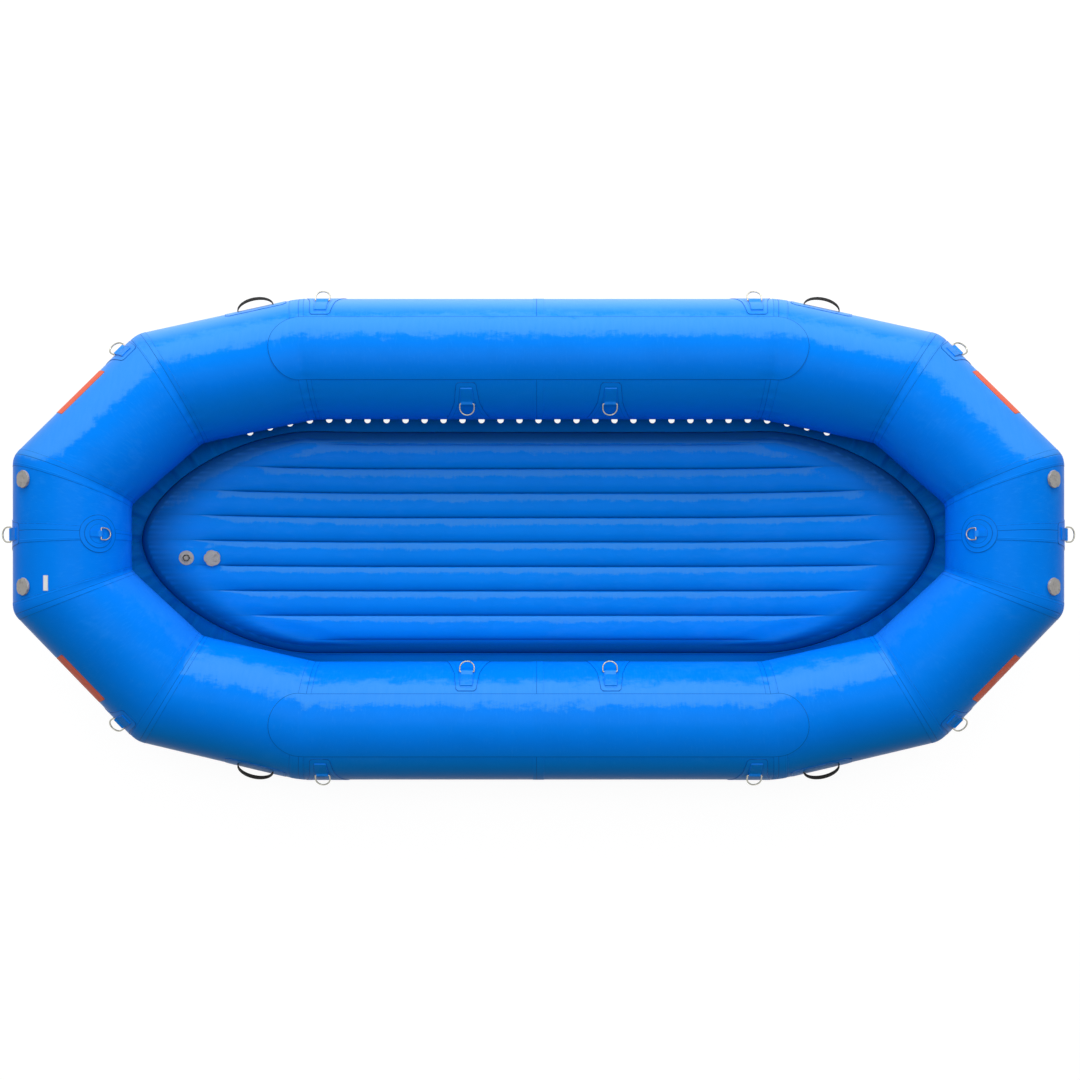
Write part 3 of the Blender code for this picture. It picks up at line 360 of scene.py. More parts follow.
@dataclass(frozen=True)
class CoatedFabric:
    """Glossy coated fabric of an inflated skin: slight ripples, scuffs and a fine weave."""

    name: str
    base: Colour = BLUE
    dull: Colour = (0.015, 0.27, 0.96)
    deep: Colour = (0.0, 0.165, 0.72)
    shade: Colour = (0.0, 0.05, 0.19)
    rough: float = 0.30
    gloss: float = 0.025
    ripple: float = 0.0006
    ripple_scale: float = 30.0
    scuffed: float = 0.35
    shaded: float = 0.0
    sheen_painted: bool = True
    sheen_from: float = 0.20
    streaks: tuple = (110.0, 26.0)

    def build(self) -> bpy.types.Material:
        """Makes the material.

        Returns:
            The material.
        """
        shader = Shader(self.name)
        broad = shader.noise(1.7, 3, 0.5)
        ragged = shader.noise(9, 8, 0.68, shader.stretched(0.8, 1.6, 1.6))
        scuff = (ragged + broad * 0.5).smooth(0.80, 0.98) * self.scuffed
        cloud = shader.noise(4.5, 4, 0.6).smooth(0.35, 0.75)
        tone = shader.colour(self.base, self.deep, cloud * 0.22)
        tone = shader.colour(tone, self.dull, scuff)
        along, over, sunk = shader.chart()
        place = shader.node("ShaderNodeCombineXYZ", X=along * self.streaks[0], Y=over * self.streaks[1])
        rubbed = (shader.noise(1.0, 6, 0.66, place.outputs[0]) + broad * 0.35).smooth(0.68, 0.86)
        tone = shader.colour(tone, self.dull, rubbed * self.scuffed)
        # Painted highlights on port-facing slopes and painted shade on starboard-facing ones.
        if self.sheen_painted:
            tone = shader.painted_sheen(tone, self.sheen_from)
        # Painted shade from the chart's third number, where a piece sets one.
        if self.shaded:
            tone = shader.colour(tone, self.shade, sunk * self.shaded)
        ripples = shader.noise(self.ripple_scale, 5, 0.55, shader.stretched(0.55, 1.0, 1.0))
        normal = shader.bump(shader.noise(900, 1, 0.5), 0.00001, shader.bump(ripples, self.ripple))
        rough = self.rough + scuff * 0.10 + (ragged - 0.5) * 0.10
        return shader.finish(Base_Color=tone, Roughness=rough, Specular_IOR_Level=self.gloss, Normal=normal)


@dataclass(frozen=True)
class TapeFabric:
    """A glued seam tape: fine lines along it, as the roller leaves them."""

    name: str
    base: Colour = BLUE
    shade: Colour = (0.0, 0.09, 0.40)
    gloss: float = 0.04
    half_width: float = 0.0285
    lines: tuple = (0.008, 0.0205)

    def build(self) -> bpy.types.Material:
        """Makes the material.

        Returns:
            The material.
        """
        shader = Shader(self.name)
        across, _, _ = shader.chart()
        groove = across.line(-self.lines[0], 0.0012, 0.0012)
        ridge = across.line(self.lines[1], 0.0014, 0.0016)
        edge = abs(across).smooth(self.half_width - 0.0030, self.half_width - 0.0012)
        mottle = shader.noise(60, 4, 0.6).smooth(0.3, 0.7)
        # Painted highlight and shade by direction, then painted shade in the roller groove and, unevenly,
        # along the tape's edges.
        tone = shader.painted_sheen(self.base)
        tone = shader.colour(tone, self.shade, groove * 0.65 + edge * (0.25 + mottle * 0.40))
        normal = shader.bump(ridge * 0.8 - groove + shader.noise(30, 4, 0.6) * 0.5, 0.0007)
        rough = 0.38 + shader.noise(12, 6, 0.6) * 0.12
        return shader.finish(Base_Color=tone, Roughness=rough, Specular_IOR_Level=self.gloss, Normal=normal)


@dataclass(frozen=True)
class PatchFabric:
    """A glued patch with its inner outline, and a soft print of the layers under it."""

    name: str
    base: Colour = BLUE
    shade: Colour = (0.0, 0.08, 0.34)
    gloss: float = 0.05
    rough: float = 0.36
    inner: float = 0.018

    def build(self) -> bpy.types.Material:
        """Makes the material.

        Returns:
            The material.
        """
        shader = Shader(self.name)
        _, _, border = shader.chart()
        rim = 1 - border.smooth(0.0010, 0.0034)
        inner = border.line(self.inner, 0.0010, 0.0014)
        step = border.smooth(self.inner - 0.002, self.inner + 0.002)
        mottle = shader.noise(45, 5, 0.62).smooth(0.25, 0.75)
        # Painted highlight and shade by direction, then painted shade along the patch's rim and its inner
        # outline.
        tone = shader.painted_sheen(self.base)
        tone = shader.colour(tone, self.shade, rim * (0.45 + mottle * 0.4) + inner * 0.45)
        normal = shader.bump(step * 0.9 + shader.noise(38, 5, 0.6) * 0.5, 0.0005)
        rough = self.rough + (mottle - 0.5) * 0.14
        return shader.finish(Base_Color=tone, Roughness=rough, Specular_IOR_Level=self.gloss, Normal=normal)


@dataclass(frozen=True)
class PadFabric:
    """The chafe pad: the same colour, more matt, with a fine emboss."""

    name: str
    base: Colour = BLUE
    deep: Colour = (0.0, 0.17, 0.72)
    shade: Colour = (0.0, 0.09, 0.36)
    pale: Colour = (0.015, 0.27, 0.95)
    gloss: float = 0.04
    streaks: tuple = (110.0, 26.0)

    def build(self) -> bpy.types.Material:
        """Makes the material.

        Returns:
            The material.
        """
        shader = Shader(self.name)
        along, over, border = shader.chart()
        rim = 1 - border.smooth(0.0010, 0.0036)
        place = shader.node("ShaderNodeCombineXYZ", X=along * self.streaks[0], Y=over * self.streaks[1])
        rubbed = shader.noise(1.0, 6, 0.66, place.outputs[0]).smooth(0.52, 0.70)
        ragged = shader.noise(11, 8, 0.66, shader.stretched(0.7, 1.5, 1.5))
        cloud = shader.noise(3.5, 4, 0.6).smooth(0.35, 0.75)
        tone = shader.colour(self.base, self.deep, cloud * 0.25)
        # Painted highlight and shade by direction, then painted shade along the pad's rim.
        tone = shader.painted_sheen(shader.colour(tone, self.pale, rubbed * 0.35))
        tone = shader.colour(tone, self.shade, rim * 0.75)
        pips = shader.node("ShaderNodeTexVoronoi", {"feature": "F1"}, Scale=420.0, Vector=shader.place)
        ripples = shader.noise(24, 5, 0.55, shader.stretched(0.55, 1.0, 1.0))
        normal = shader.bump(pips.outputs["Distance"], 0.00008, shader.bump(ripples, 0.0006))
        rough = 0.32 + (ragged - 0.5) * 0.16
        return shader.finish(Base_Color=tone, Roughness=rough, Specular_IOR_Level=self.gloss, Normal=normal)


@dataclass(frozen=True)
class WebbingWeave:
    """Woven webbing: ribs across it and twill along it, with fuzz."""

    name: str
    base: Colour = (0.012, 0.012, 0.014)
    light: Colour = (0.035, 0.034, 0.03)
    gloss: float = 0.12
    pitch: float = 0.0022

    def build(self) -> bpy.types.Material:
        """Makes the material.

        Returns:
            The material.
        """
        shader = Shader(self.name)
        along, across, _ = shader.chart()
        ribs = (along / self.pitch + (across / self.pitch).math("PINGPONG", 1.0) * 0.5).sine()
        cords = (across / (self.pitch * 0.7)).sine()
        weave = ribs * 0.3 + cords * 0.2 + 0.5
        fuzz = shader.noise(700, 2, 0.6)
        worn = shader.noise(30, 5, 0.65).smooth(0.5, 0.8)
        tone = shader.colour(self.base, self.light, weave * 0.5 + worn * 0.35)
        normal = shader.bump(weave + fuzz * 0.2, 0.0005)
        rough = 0.72 + fuzz * 0.15
        return shader.finish(Base_Color=tone, Roughness=rough, Specular_IOR_Level=self.gloss, Normal=normal)


@dataclass(frozen=True)
class BlueWebbing:
    """Blue strap that holds a ring: coated on top, worn paler where it is rolled."""

    name: str
    base: Colour = BLUE
    pale: Colour = (0.03, 0.32, 1.0)
    gloss: float = 0.05
    pitch: float = 0.0016
    stitch: float = 0.0215

    def build(self) -> bpy.types.Material:
        """Makes the material.

        Returns:
            The material.
        """
        shader = Shader(self.name)
        along, across, rolled = shader.chart()
        ribs = (across / self.pitch).sine() * 0.5 + 0.5
        worn = shader.noise(70, 5, 0.6).smooth(0.4, 0.75)
        # Painted highlight and shade by direction over the paler rolled eye.
        tone = shader.painted_sheen(shader.colour(self.base, self.pale, rolled * (0.35 + worn * 0.45)))
        stitch = abs(along).line(self.stitch, 0.0006, 0.0006) * (1 - rolled)
        normal = shader.bump(ribs * 0.5 - stitch + shader.noise(50, 4, 0.6), 0.00035)
        rough = 0.42 + worn * 0.12
        return shader.finish(Base_Color=tone, Roughness=rough, Specular_IOR_Level=self.gloss, Normal=normal)


@dataclass(frozen=True)
class RingSteel:
    """Stainless wire, drawn along its length and slightly tarnished."""

    name: str
    base: Colour = (0.44, 0.43, 0.37)
    tarnish: Colour = (0.13, 0.13, 0.10)

    def build(self) -> bpy.types.Material:
        """Makes the material.

        Returns:
            The material.
        """
        shader = Shader(self.name)
        spots = shader.noise(160, 5, 0.62).smooth(0.5, 0.72)
        drawn = shader.noise(90, 3, 0.5, shader.stretched(1.0, 6.0, 6.0))
        tone = shader.colour(self.base, self.tarnish, spots * 0.75)
        rough = 0.20 + spots * 0.18 + drawn * 0.12
        normal = shader.bump(drawn, 0.00003)
        return shader.finish(Base_Color=tone, Roughness=rough, Metallic=1.0, Normal=normal)


@dataclass(frozen=True)
class MouldedPlastic:
    """Weathered moulded plastic with scratches and settled dust."""

    name: str
    base: Colour = (0.38, 0.365, 0.35)
    dirt: Colour = (0.14, 0.14, 0.135)
    pale: Colour = (0.52, 0.50, 0.48)

    def build(self) -> bpy.types.Material:
        """Makes the material.

        Returns:
            The material.
        """
        shader = Shader(self.name)
        blotch = shader.noise(75, 6, 0.68)
        tone = shader.colour(self.base, self.dirt, blotch.smooth(0.50, 0.68) * 0.55)
        tone = shader.colour(tone, self.pale, shader.noise(55, 6, 0.66).smooth(0.52, 0.7) * 0.5)
        normal = shader.bump(shader.noise(1400, 2, 0.6) * 0.5 + blotch, 0.0003)
        return shader.finish(Base_Color=tone, Roughness=0.42 + blotch * 0.22, Normal=normal)


@dataclass(frozen=True)
class PaintedPlate:
    """A bare sheet plate glued to the tube: even colour, faded and lightly scuffed."""

    name: str
    base: Colour = (0.80, 0.11, 0.05)
    faded: Colour = (0.84, 0.20, 0.12)
    edge: Colour = (0.35, 0.08, 0.04)
    gloss: float = 0.15

    def build(self) -> bpy.types.Material:
        """Makes the material.

        Returns:
            The material.
        """
        shader = Shader(self.name)
        _, _, border = shader.chart()
        fade = shader.noise(22, 6, 0.66).smooth(0.35, 0.7)
        tone = shader.colour(self.base, self.faded, fade * 0.6)
        tone = shader.colour(tone, self.edge, (1 - border.smooth(0.0004, 0.0022)) * 0.7)
        normal = shader.bump(shader.noise(120, 4, 0.6), 0.00015)
        rough = 0.46 + fade * 0.16
        return shader.finish(Base_Color=tone, Roughness=rough, Specular_IOR_Level=self.gloss, Normal=normal)


# Mesh helpers.


def mesh_object(
    name: str,
    points: Array,
    faces: Sequence,
    chart: Optional[Array] = None,
    sharp: float = 40,
    signs: tuple = (1, 1),
    outward: bool = False,
) -> Any:
    """Makes an object.

    Args:
        name: Its name.
        points: Its points in the bow port quarter.
        faces: Its faces, by point numbers.
        chart: Three numbers a point for its shader.
        sharp: Angle in degrees over which an edge shows.
        signs: The signs that mirror it.
        outward: Whether its faces are turned outward.

    Returns:
        The object.
    """
    mesh = bpy.data.meshes.new(name)
    places = mirrored(np.asarray(points, float).reshape(-1, 3), signs)
    mesh.from_pydata(places.tolist(), [], [tuple(int(i) for i in face) for face in faces])
    if chart is not None:
        layer = mesh.attributes.new("chart", "FLOAT_VECTOR", "POINT")
        layer.data.foreach_set("vector", np.asarray(chart, np.float32).ravel())
    shade(mesh, sharp)
    mesh.update()
    made = bpy.data.objects.new(name, mesh)
    bpy.context.scene.collection.objects.link(made)
    if outward:
        face_outward(made)
    return made


def shade(mesh: bpy.types.Mesh, sharp: float) -> None:
    """Shades a mesh smooth up to an angle in degrees."""
    mesh.shade_smooth()
    mesh.set_sharp_from_angle(angle=math.radians(sharp))


def grid_faces(rows: int, columns: int, wrap_rows: bool = False, wrap_columns: bool = False) -> list:
    """Faces of a grid of points.

    Args:
        rows: Number of rows.
        columns: Number of columns.
        wrap_rows: Whether the last row joins the first.
        wrap_columns: Whether the last column joins the first.

    Returns:
        The faces.
    """
    row = np.arange(rows if wrap_rows else rows - 1)[:, None]
    column = np.arange(columns if wrap_columns else columns - 1)[None, :]
    below, beside = (row + 1) % rows, (column + 1) % columns
    pairs = ((row, column), (below, column), (below, beside), (row, beside))
    corners = [here * columns + there for here, there in pairs]
    return np.stack([corner.ravel() for corner in corners], 1).tolist()


def capped(faces: Sequence, rows: int, columns: int, turned: bool = False) -> list:
    """Faces of a sleeve of rings with its two ends closed.

    Args:
        faces: The sleeve's faces.
        rows: Number of rings.
        columns: Points on each ring.
        turned: Whether the last end is turned over.

    Returns:
        The faces.
    """
    last = range((rows - 1) * columns, rows * columns)
    return [*faces, tuple(range(columns)), tuple(reversed(last) if turned else last)]


def round_angles(count: int) -> Array:
    """Evenly spaced angles of a full turn."""
    return 2 * math.pi * np.arange(count) / count


def distances(line: Array) -> Array:
    """Distance of each point of a line from its first."""
    return np.concatenate([[0], np.cumsum(np.linalg.norm(np.diff(line, axis=0), axis=1))])


def ramp(value: Array, low: float, high: float) -> Array:
    """A soft step from 0 at low to 1 at high."""
    share = np.clip((value - low) / (high - low), 0, 1)
    return share * share * (3 - 2 * share)


def mirrored(points: Array, signs: tuple) -> Array:
    """Points mirrored by the signs of a quarter."""
    return np.asarray(points) * np.array([*signs, 1.0])


def turned_over(faces: Sequence, turn: bool) -> Sequence:
    """Faces, turned over if asked."""
    return [tuple(reversed(face)) for face in faces] if turn else faces


def face_outward(made: Any, weld: float = 0.0) -> None:
    """Turns a piece's faces outward.

    Args:
        made: The object.
        weld: Distance within which its points are joined first.
    """
    body = bmesh.new()
    body.from_mesh(made.data)
    if weld:
        bmesh.ops.remove_doubles(body, verts=body.verts, dist=weld)
    bmesh.ops.recalc_face_normals(body, faces=body.faces)
    body.to_mesh(made.data)
    body.free()


def aim_outward(made: Any, centres: Array) -> Any:
    """Turns a piece's faces over if they look towards the nearest of some centres.

    Args:
        made: The object.
        centres: One point per row.

    Returns:
        The object.
    """
    places = np.array([face.center for face in made.data.polygons])
    normals = np.array([face.normal for face in made.data.polygons])
    nearest = np.argmin(np.linalg.norm(places[:, None] - centres[None], axis=2), axis=1)
    if ((places - centres[nearest]) * normals).sum() < 0:
        made.data.flip_normals()
    return made


def place_piece(
    made: Any, material: bpy.types.Material, body: str = HULL, nodes: Sequence[str] = ()
) -> Any:
    """Gives a piece its material and its place in the frame.

    Args:
        made: The object.
        material: Its material.
        body: The body that it rides on.
        nodes: Nodes that it stands for.

    Returns:
        The object.
    """
    made.data.materials.clear()
    made.data.materials.append(material)
    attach(made, body)
    if nodes:
        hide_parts(*nodes)
    LOG.info("piece %s on %s, %d faces", made.name, body, len(made.data.polygons))
    return made


# Tube surface.


@dataclass
class TubeSkin:
    """Smooth surface of the tube loop, in the bow port quarter, with softened mitres."""

    side_half_length: float = 0.965
    side_axis_offset: float = 0.752
    side_radius: float = 0.245
    shoulder_end_x: float = 1.51
    shoulder_end_y: float = 0.612
    shoulder_lift: float = 0.09
    shoulder_radius: float = 0.2385
    end_axis_x: float = 1.845
    end_half_length: float = 0.218
    end_lift: float = 0.26
    end_radius: float = 0.218
    turns: int = 192
    step: float = 0.005
    overrun: float = 1.3
    softness: float = 0.013
    pinch: float = 0.0016
    pinch_reach: float = 0.022
    fold: float = 0.0012
    fold_reach: float = 0.05

    def __post_init__(self) -> None:
        """Works out the axis and the surface's table."""
        high = self.side_radius
        self.corners = np.array([
            (0, self.side_axis_offset, high),
            (self.side_half_length, self.side_axis_offset, high),
            (self.shoulder_end_x, self.shoulder_end_y, self.shoulder_lift + self.shoulder_radius),
            (self.end_axis_x, self.end_half_length, self.end_lift + self.end_radius),
            (self.end_axis_x, 0, self.end_lift + self.end_radius),
        ])
        self.radii = np.array([high, high, self.shoulder_radius, self.end_radius, self.end_radius])
        steps = np.diff(self.corners, axis=0)
        self.lengths = np.linalg.norm(steps, axis=1)
        self.ways = steps / self.lengths[:, None]
        self.starts = np.concatenate([[0], np.cumsum(self.lengths)])
        self.total = self.starts[-1]
        self.spokes = [(Vector((0, 1, 0)), Vector((0, 0, 1)))]
        for before, after in zip(self.ways, self.ways[1:]):
            carry = Vector(before).rotation_difference(Vector(after))
            self.spokes.append(tuple(carry @ spoke for spoke in self.spokes[-1]))
        self.fill_table()

    def twist(self, segment: int) -> float:
        """Turn of a segment's first spoke from level outward.

        Args:
            segment: Number of the segment.

        Returns:
            The angle.
        """
        way = Vector(self.ways[segment])
        outward = Vector((-way.y, way.x, 0)).normalized()
        first = self.spokes[segment][0]
        return math.atan2(first.dot(way.cross(outward)), first.dot(outward))

    def mitre(self, corner: int, angle: Array) -> Array:
        """Points of the mitre at a corner.

        Args:
            corner: Number of the axis corner.
            angle: Angles round the tube from its first spoke.

        Returns:
            One point per angle.
        """
        last = len(self.ways) - 1
        before, after = self.ways[max(corner - 1, 0)], self.ways[min(corner, last)]
        normal = (before + after) / np.linalg.norm(before + after)
        first, second = (np.array(spoke) for spoke in self.spokes[min(corner, last)])
        spoke = np.cos(angle)[..., None] * first + np.sin(angle)[..., None] * second
        spoke = spoke - (spoke @ normal / (after @ normal))[..., None] * after
        return self.corners[corner] + spoke * self.radii[corner]

    def folded(self, station: Array) -> Array:
        """Stations past either end of the quarter, mirrored back into it."""
        folded = np.where(station > self.total, 2 * self.total - station, station)
        return np.where(station < 0, -station, folded)

    def straight(self, station: Array, angle: Array) -> Array:
        """The surface with sharp mitres.

        Args:
            station: Distances along the axis, past both ends too.
            angle: Angles round the tube.

        Returns:
            Points, one row per station.
        """
        inside = self.folded(station)
        rings = np.stack([self.mitre(corner, angle) for corner in range(len(self.corners))])
        segment = np.clip(np.searchsorted(self.starts, inside, side="right") - 1, 0, len(self.ways) - 1)
        share = ((inside - self.starts[segment]) / self.lengths[segment])[:, None, None]
        points = rings[segment] * (1 - share) + rings[segment + 1] * share
        points[station < 0, :, 0] *= -1
        points[station > self.total, :, 1] *= -1
        return points

    def fill_table(self) -> None:
        """Softens the mitres, adds the pinch of the seams and works out the normals."""
        self.first_station = -self.overrun
        count = int((self.total + 2 * self.overrun) / self.step) + 1
        station = self.first_station + self.step * np.arange(count)
        angle = round_angles(self.turns)
        points = self.straight(station, angle)
        reach = int(4 * self.softness / self.step)
        offsets = np.arange(-reach, reach + 1)
        kernel = np.exp(-0.5 * (offsets * self.step / self.softness) ** 2)
        kernel /= kernel.sum()
        padded = np.concatenate([np.repeat(points[:1], reach, 0), points, np.repeat(points[-1:], reach, 0)])
        points = sum(weight * padded[i:i + count] for i, weight in enumerate(kernel))
        normals = self.normals_of(points)
        inside = self.folded(station)
        relief = np.zeros(points.shape[:2])
        for corner in SEAMS:
            distance = inside - self.starts[corner]
            relief -= (self.pinch * np.exp(-(distance / self.pinch_reach) ** 2))[:, None]
            inner = np.clip(-np.cos(angle + 0.15), 0, 1) ** 2
            folds = np.sin(angle * 23 + corner) + 0.6 * np.sin(angle * 41 + 2 * corner)
            near = np.exp(-(distance / self.fold_reach) ** 2)[:, None]
            relief += self.fold * near * (inner * folds)[None, :]
        self.points = points + normals * relief[..., None]
        self.normals = self.normals_of(self.points)

    def normals_of(self, points: Array) -> Array:
        """Outward normals of a table of points, wrapped round the tube.

        Args:
            points: The table, one row per station.

        Returns:
            One normal for each.
        """
        along = np.gradient(points, axis=0)
        round_way = np.roll(points, -1, 1) - np.roll(points, 1, 1)
        normals = np.cross(round_way, along)
        return normals / np.linalg.norm(normals, axis=2, keepdims=True)

    def at(self, station: Array, angle: Array, lift: Array = 0.0) -> Array:
        """Points on or over the surface.

        Args:
            station: Distances along the axis.
            angle: Angles round the tube from the first spoke.
            lift: Heights over the surface.

        Returns:
            One point for each.
        """
        station, angle, lift = np.broadcast_arrays(station, angle, lift)
        row = (station - self.first_station) / self.step
        column = (angle / (2 * math.pi) * self.turns) % self.turns
        low_row = np.clip(np.floor(row).astype(int), 0, len(self.points) - 2)
        low_column = np.floor(column).astype(int) % self.turns
        next_column = (low_column + 1) % self.turns
        across = (row - low_row)[..., None]
        over = (column - np.floor(column))[..., None]
        found = []
        for values in (self.points, self.normals):
            low = values[low_row, low_column] * (1 - over) + values[low_row, next_column] * over
            high = values[low_row + 1, low_column] * (1 - over) + values[low_row + 1, next_column] * over
            found.append(low * (1 - across) + high * across)
        normal = found[1] / np.linalg.norm(found[1], axis=-1, keepdims=True)
        return found[0] + normal * lift[..., None]

    def station_of(self, segment: int, along: Array, angle: Array) -> Array:
        """Axis distance whose surface point lies at a place along a segment.

        Args:
            segment: Number of the segment.
            along: Distance along its axis from its first corner.
            angle: Angles round the tube.

        Returns:
            The stations.
        """
        start, way = self.corners[segment], self.ways[segment]
        from_start = (self.mitre(segment, angle) - start) @ way
        to_end = (self.mitre(segment + 1, angle) - start) @ way
        share = (along - from_start) / (to_end - from_start)
        return self.starts[segment] + share * self.lengths[segment]


@dataclass
class TubePlace:
    """A place on the tube that patches, straps and rings are measured from."""

    skin: TubeSkin
    segment: int
    along: float
    turn: float
    downhill: int = -1

    @property
    def radius(self) -> float:
        """The tube's radius here."""
        first, second = self.skin.radii[self.segment:self.segment + 2]
        return first + (second - first) * (self.along / self.skin.lengths[self.segment])

    def points(self, down: Array, across: Array, lift: Array = 0.0) -> Array:
        """Points near the place.

        Args:
            down: Distances downhill round the tube.
            across: Distances along the tube, positive to the frame's second axis.
            lift: Heights over the surface.

        Returns:
            One point for each.
        """
        down, across, lift = np.broadcast_arrays(down, across, lift)
        angle = self.turn - self.skin.twist(self.segment) + self.downhill * down / self.radius
        station = self.skin.station_of(self.segment, self.along + across * self.downhill, angle)
        return self.skin.at(station, angle, lift)

    def axes(self) -> tuple[Array, Array, Array, Array]:
        """Origin, downhill, along and outward directions at the place.

        Returns:
            The four vectors.
        """
        tiny = 0.004
        origin = self.points(0.0, 0.0)
        down = self.points(tiny, 0.0) - self.points(-tiny, 0.0)
        across = self.points(0.0, tiny) - self.points(0.0, -tiny)
        down /= np.linalg.norm(down)
        outward = np.cross(down, across)
        outward /= np.linalg.norm(outward)
        return origin, down, np.cross(outward, down), outward


# Shapes on the tube.


def border_distance(down: Array, across: Array, outline: Sequence) -> Array:
    """Distance of points inside an outline from its border.

    Args:
        down: Distances downhill.
        across: Distances along the tube.
        outline: Distance and half width pairs.

    Returns:
        The distances.
    """
    loop = [(d, h) for d, h in outline] + [(d, -h) for d, h in reversed(outline)]
    nearest = np.full(down.shape, 1e9)
    for (x0, y0), (x1, y1) in zip(loop, loop[1:] + loop[:1]):
        length = math.hypot(x1 - x0, y1 - y0)
        if length < 1e-9:
            continue
        share = ((down - x0) * (x1 - x0) + (across - y0) * (y1 - y0)) / length**2
        share = np.clip(share, 0, 1)
        gap = np.hypot(down - x0 - share * (x1 - x0), across - y0 - share * (y1 - y0))
        nearest = np.minimum(nearest, gap)
    return nearest


def set_rim(grid: Array, value: float) -> None:
    """Sets the outermost rows and columns of a grid."""
    grid[0] = grid[-1] = value
    grid[:, 0] = grid[:, -1] = value


def flared_sheet(
    name: str, place: TubePlace, outline: Sequence, lift: float, signs: tuple, shift: float = 0.0
) -> Any:
    """A thin glued sheet whose half width follows an outline.

    Args:
        name: The piece's name.
        place: Where distance 0 of the outline lies, once shifted.
        outline: Distance and half width pairs.
        lift: Height of its top.
        signs: The quarter's signs.
        shift: Distance downhill of the outline's start.

    Returns:
        The object.
    """
    marks, halves = (np.array(column, float) for column in zip(*outline))
    start, end = outline[0][0], outline[-1][0]
    down = sorted({*np.linspace(start, end, 34).round(6), *(round(point[0], 6) for point in outline)})
    down = np.concatenate([[start - EDGE], down, [end + EDGE]])
    columns = np.concatenate([[-1.0], np.linspace(-1, 1, 25), [1.0]])
    across = columns[None, :] * np.interp(down, marks, halves)[:, None]
    across[:, 0] -= EDGE
    across[:, -1] += EDGE
    height = np.full(across.shape, lift)
    set_rim(height, SINK)
    grid = np.broadcast_to(down[:, None], across.shape)
    border = border_distance(grid, across, outline)
    set_rim(border, 0)
    faces = turned_over(grid_faces(*across.shape), place.downhill * signs[0] * signs[1] < 0)
    points = place.points(grid + shift, across, height)
    made = mesh_object(name, points, faces, np.stack([grid, across, border], -1), 35, signs)
    return aim_outward(made, mirrored(place.skin.corners, signs))


def round_sheet(
    name: str, place: TubePlace, radius: float, lift: float, signs: tuple, middle: float = 0.0
) -> Any:
    """A thin round glued sheet.

    Args:
        name: The piece's name.
        place: Where it is measured from.
        radius: Its radius.
        lift: Height of its top.
        signs: The quarter's signs.
        middle: Distance downhill of its centre.

    Returns:
        The object.
    """
    sides = 64
    rings = np.concatenate([np.linspace(0.0, radius, 12), [radius + EDGE]])
    angles = round_angles(sides)
    down = middle + rings[:, None] * np.cos(angles)
    across = rings[:, None] * np.sin(angles)
    height = np.full(down.shape, lift)
    height[-1] = SINK
    border = np.broadcast_to(np.clip(radius - rings, 0, None)[:, None], down.shape)
    faces = grid_faces(len(rings), sides, wrap_columns=True)
    points = place.points(down, across, height)
    made = mesh_object(name, points, faces, np.stack([down, across, border], -1), 35, signs)
    return aim_outward(made, mirrored(place.skin.corners, signs))


def swept_section(
    name: str, place: TubePlace, section: Array, half: float, rolled: Array, signs: tuple
) -> Any:
    """A closed section of distance and height, extruded along the tube.

    Args:
        name: The piece's name.
        place: Where it is measured from.
        section: Distances downhill and heights, one row each.
        half: Half its width.
        rolled: How far each point belongs to the roll.
        signs: The quarter's signs.

    Returns:
        The object.
    """
    soft, flat, middle = 0.0012, 0.004, 9
    ends = [-half, -half + soft * 0.3, -half + soft]
    between = np.linspace(-half + flat, half - flat, middle)
    columns = np.array([*ends, *between, *(-end for end in reversed(ends))])
    shrink = np.array([soft, soft * 0.3, 0, *([0] * middle), 0, soft * 0.3, soft])
    inward = section.mean(0) - section
    inward /= np.maximum(np.linalg.norm(inward, axis=1, keepdims=True), 1e-9)
    rows = []
    for column, drawn in zip(columns, shrink):
        moved = section + inward * drawn * 0.6
        rows.append(np.stack([moved[:, 0], np.full(len(section), column), moved[:, 1]], -1))
    grid = np.stack(rows)
    count = len(section)
    faces = capped(grid_faces(len(columns), count, wrap_columns=True), len(columns), count, turned=True)
    chart = np.stack([grid[..., 1], grid[..., 0], np.broadcast_to(rolled, grid.shape[:2])], -1)
    points = place.points(grid[..., 0], grid[..., 1], grid[..., 2])
    return mesh_object(name, points, faces, chart, 50, signs, outward=True)


def swept_wire(name: str, path: Array, radius: float, signs: tuple, sides: int = 16) -> Any:
    """A round wire along a closed path.

    Args:
        name: The piece's name.
        path: Its points.
        radius: The wire's radius.
        signs: The quarter's signs.
        sides: Points round the wire.

    Returns:
        The object.
    """
    path = mirrored(path, signs)
    ahead = np.roll(path, -1, 0) - path
    behind = path - np.roll(path, 1, 0)
    way = sum(part / np.linalg.norm(part, axis=1, keepdims=True) for part in (ahead, behind))
    way /= np.linalg.norm(way, axis=1, keepdims=True)
    flat = np.linalg.svd(path - path.mean(0))[2][2]
    side = np.cross(way, flat)
    angles = round_angles(sides)
    spokes = np.cos(angles)[None, :, None] * side[:, None] + np.sin(angles)[None, :, None] * flat
    faces = grid_faces(len(path), sides, wrap_rows=True, wrap_columns=True)
    return mesh_object(name, path[:, None] + radius * spokes, faces, None, 60, outward=True)


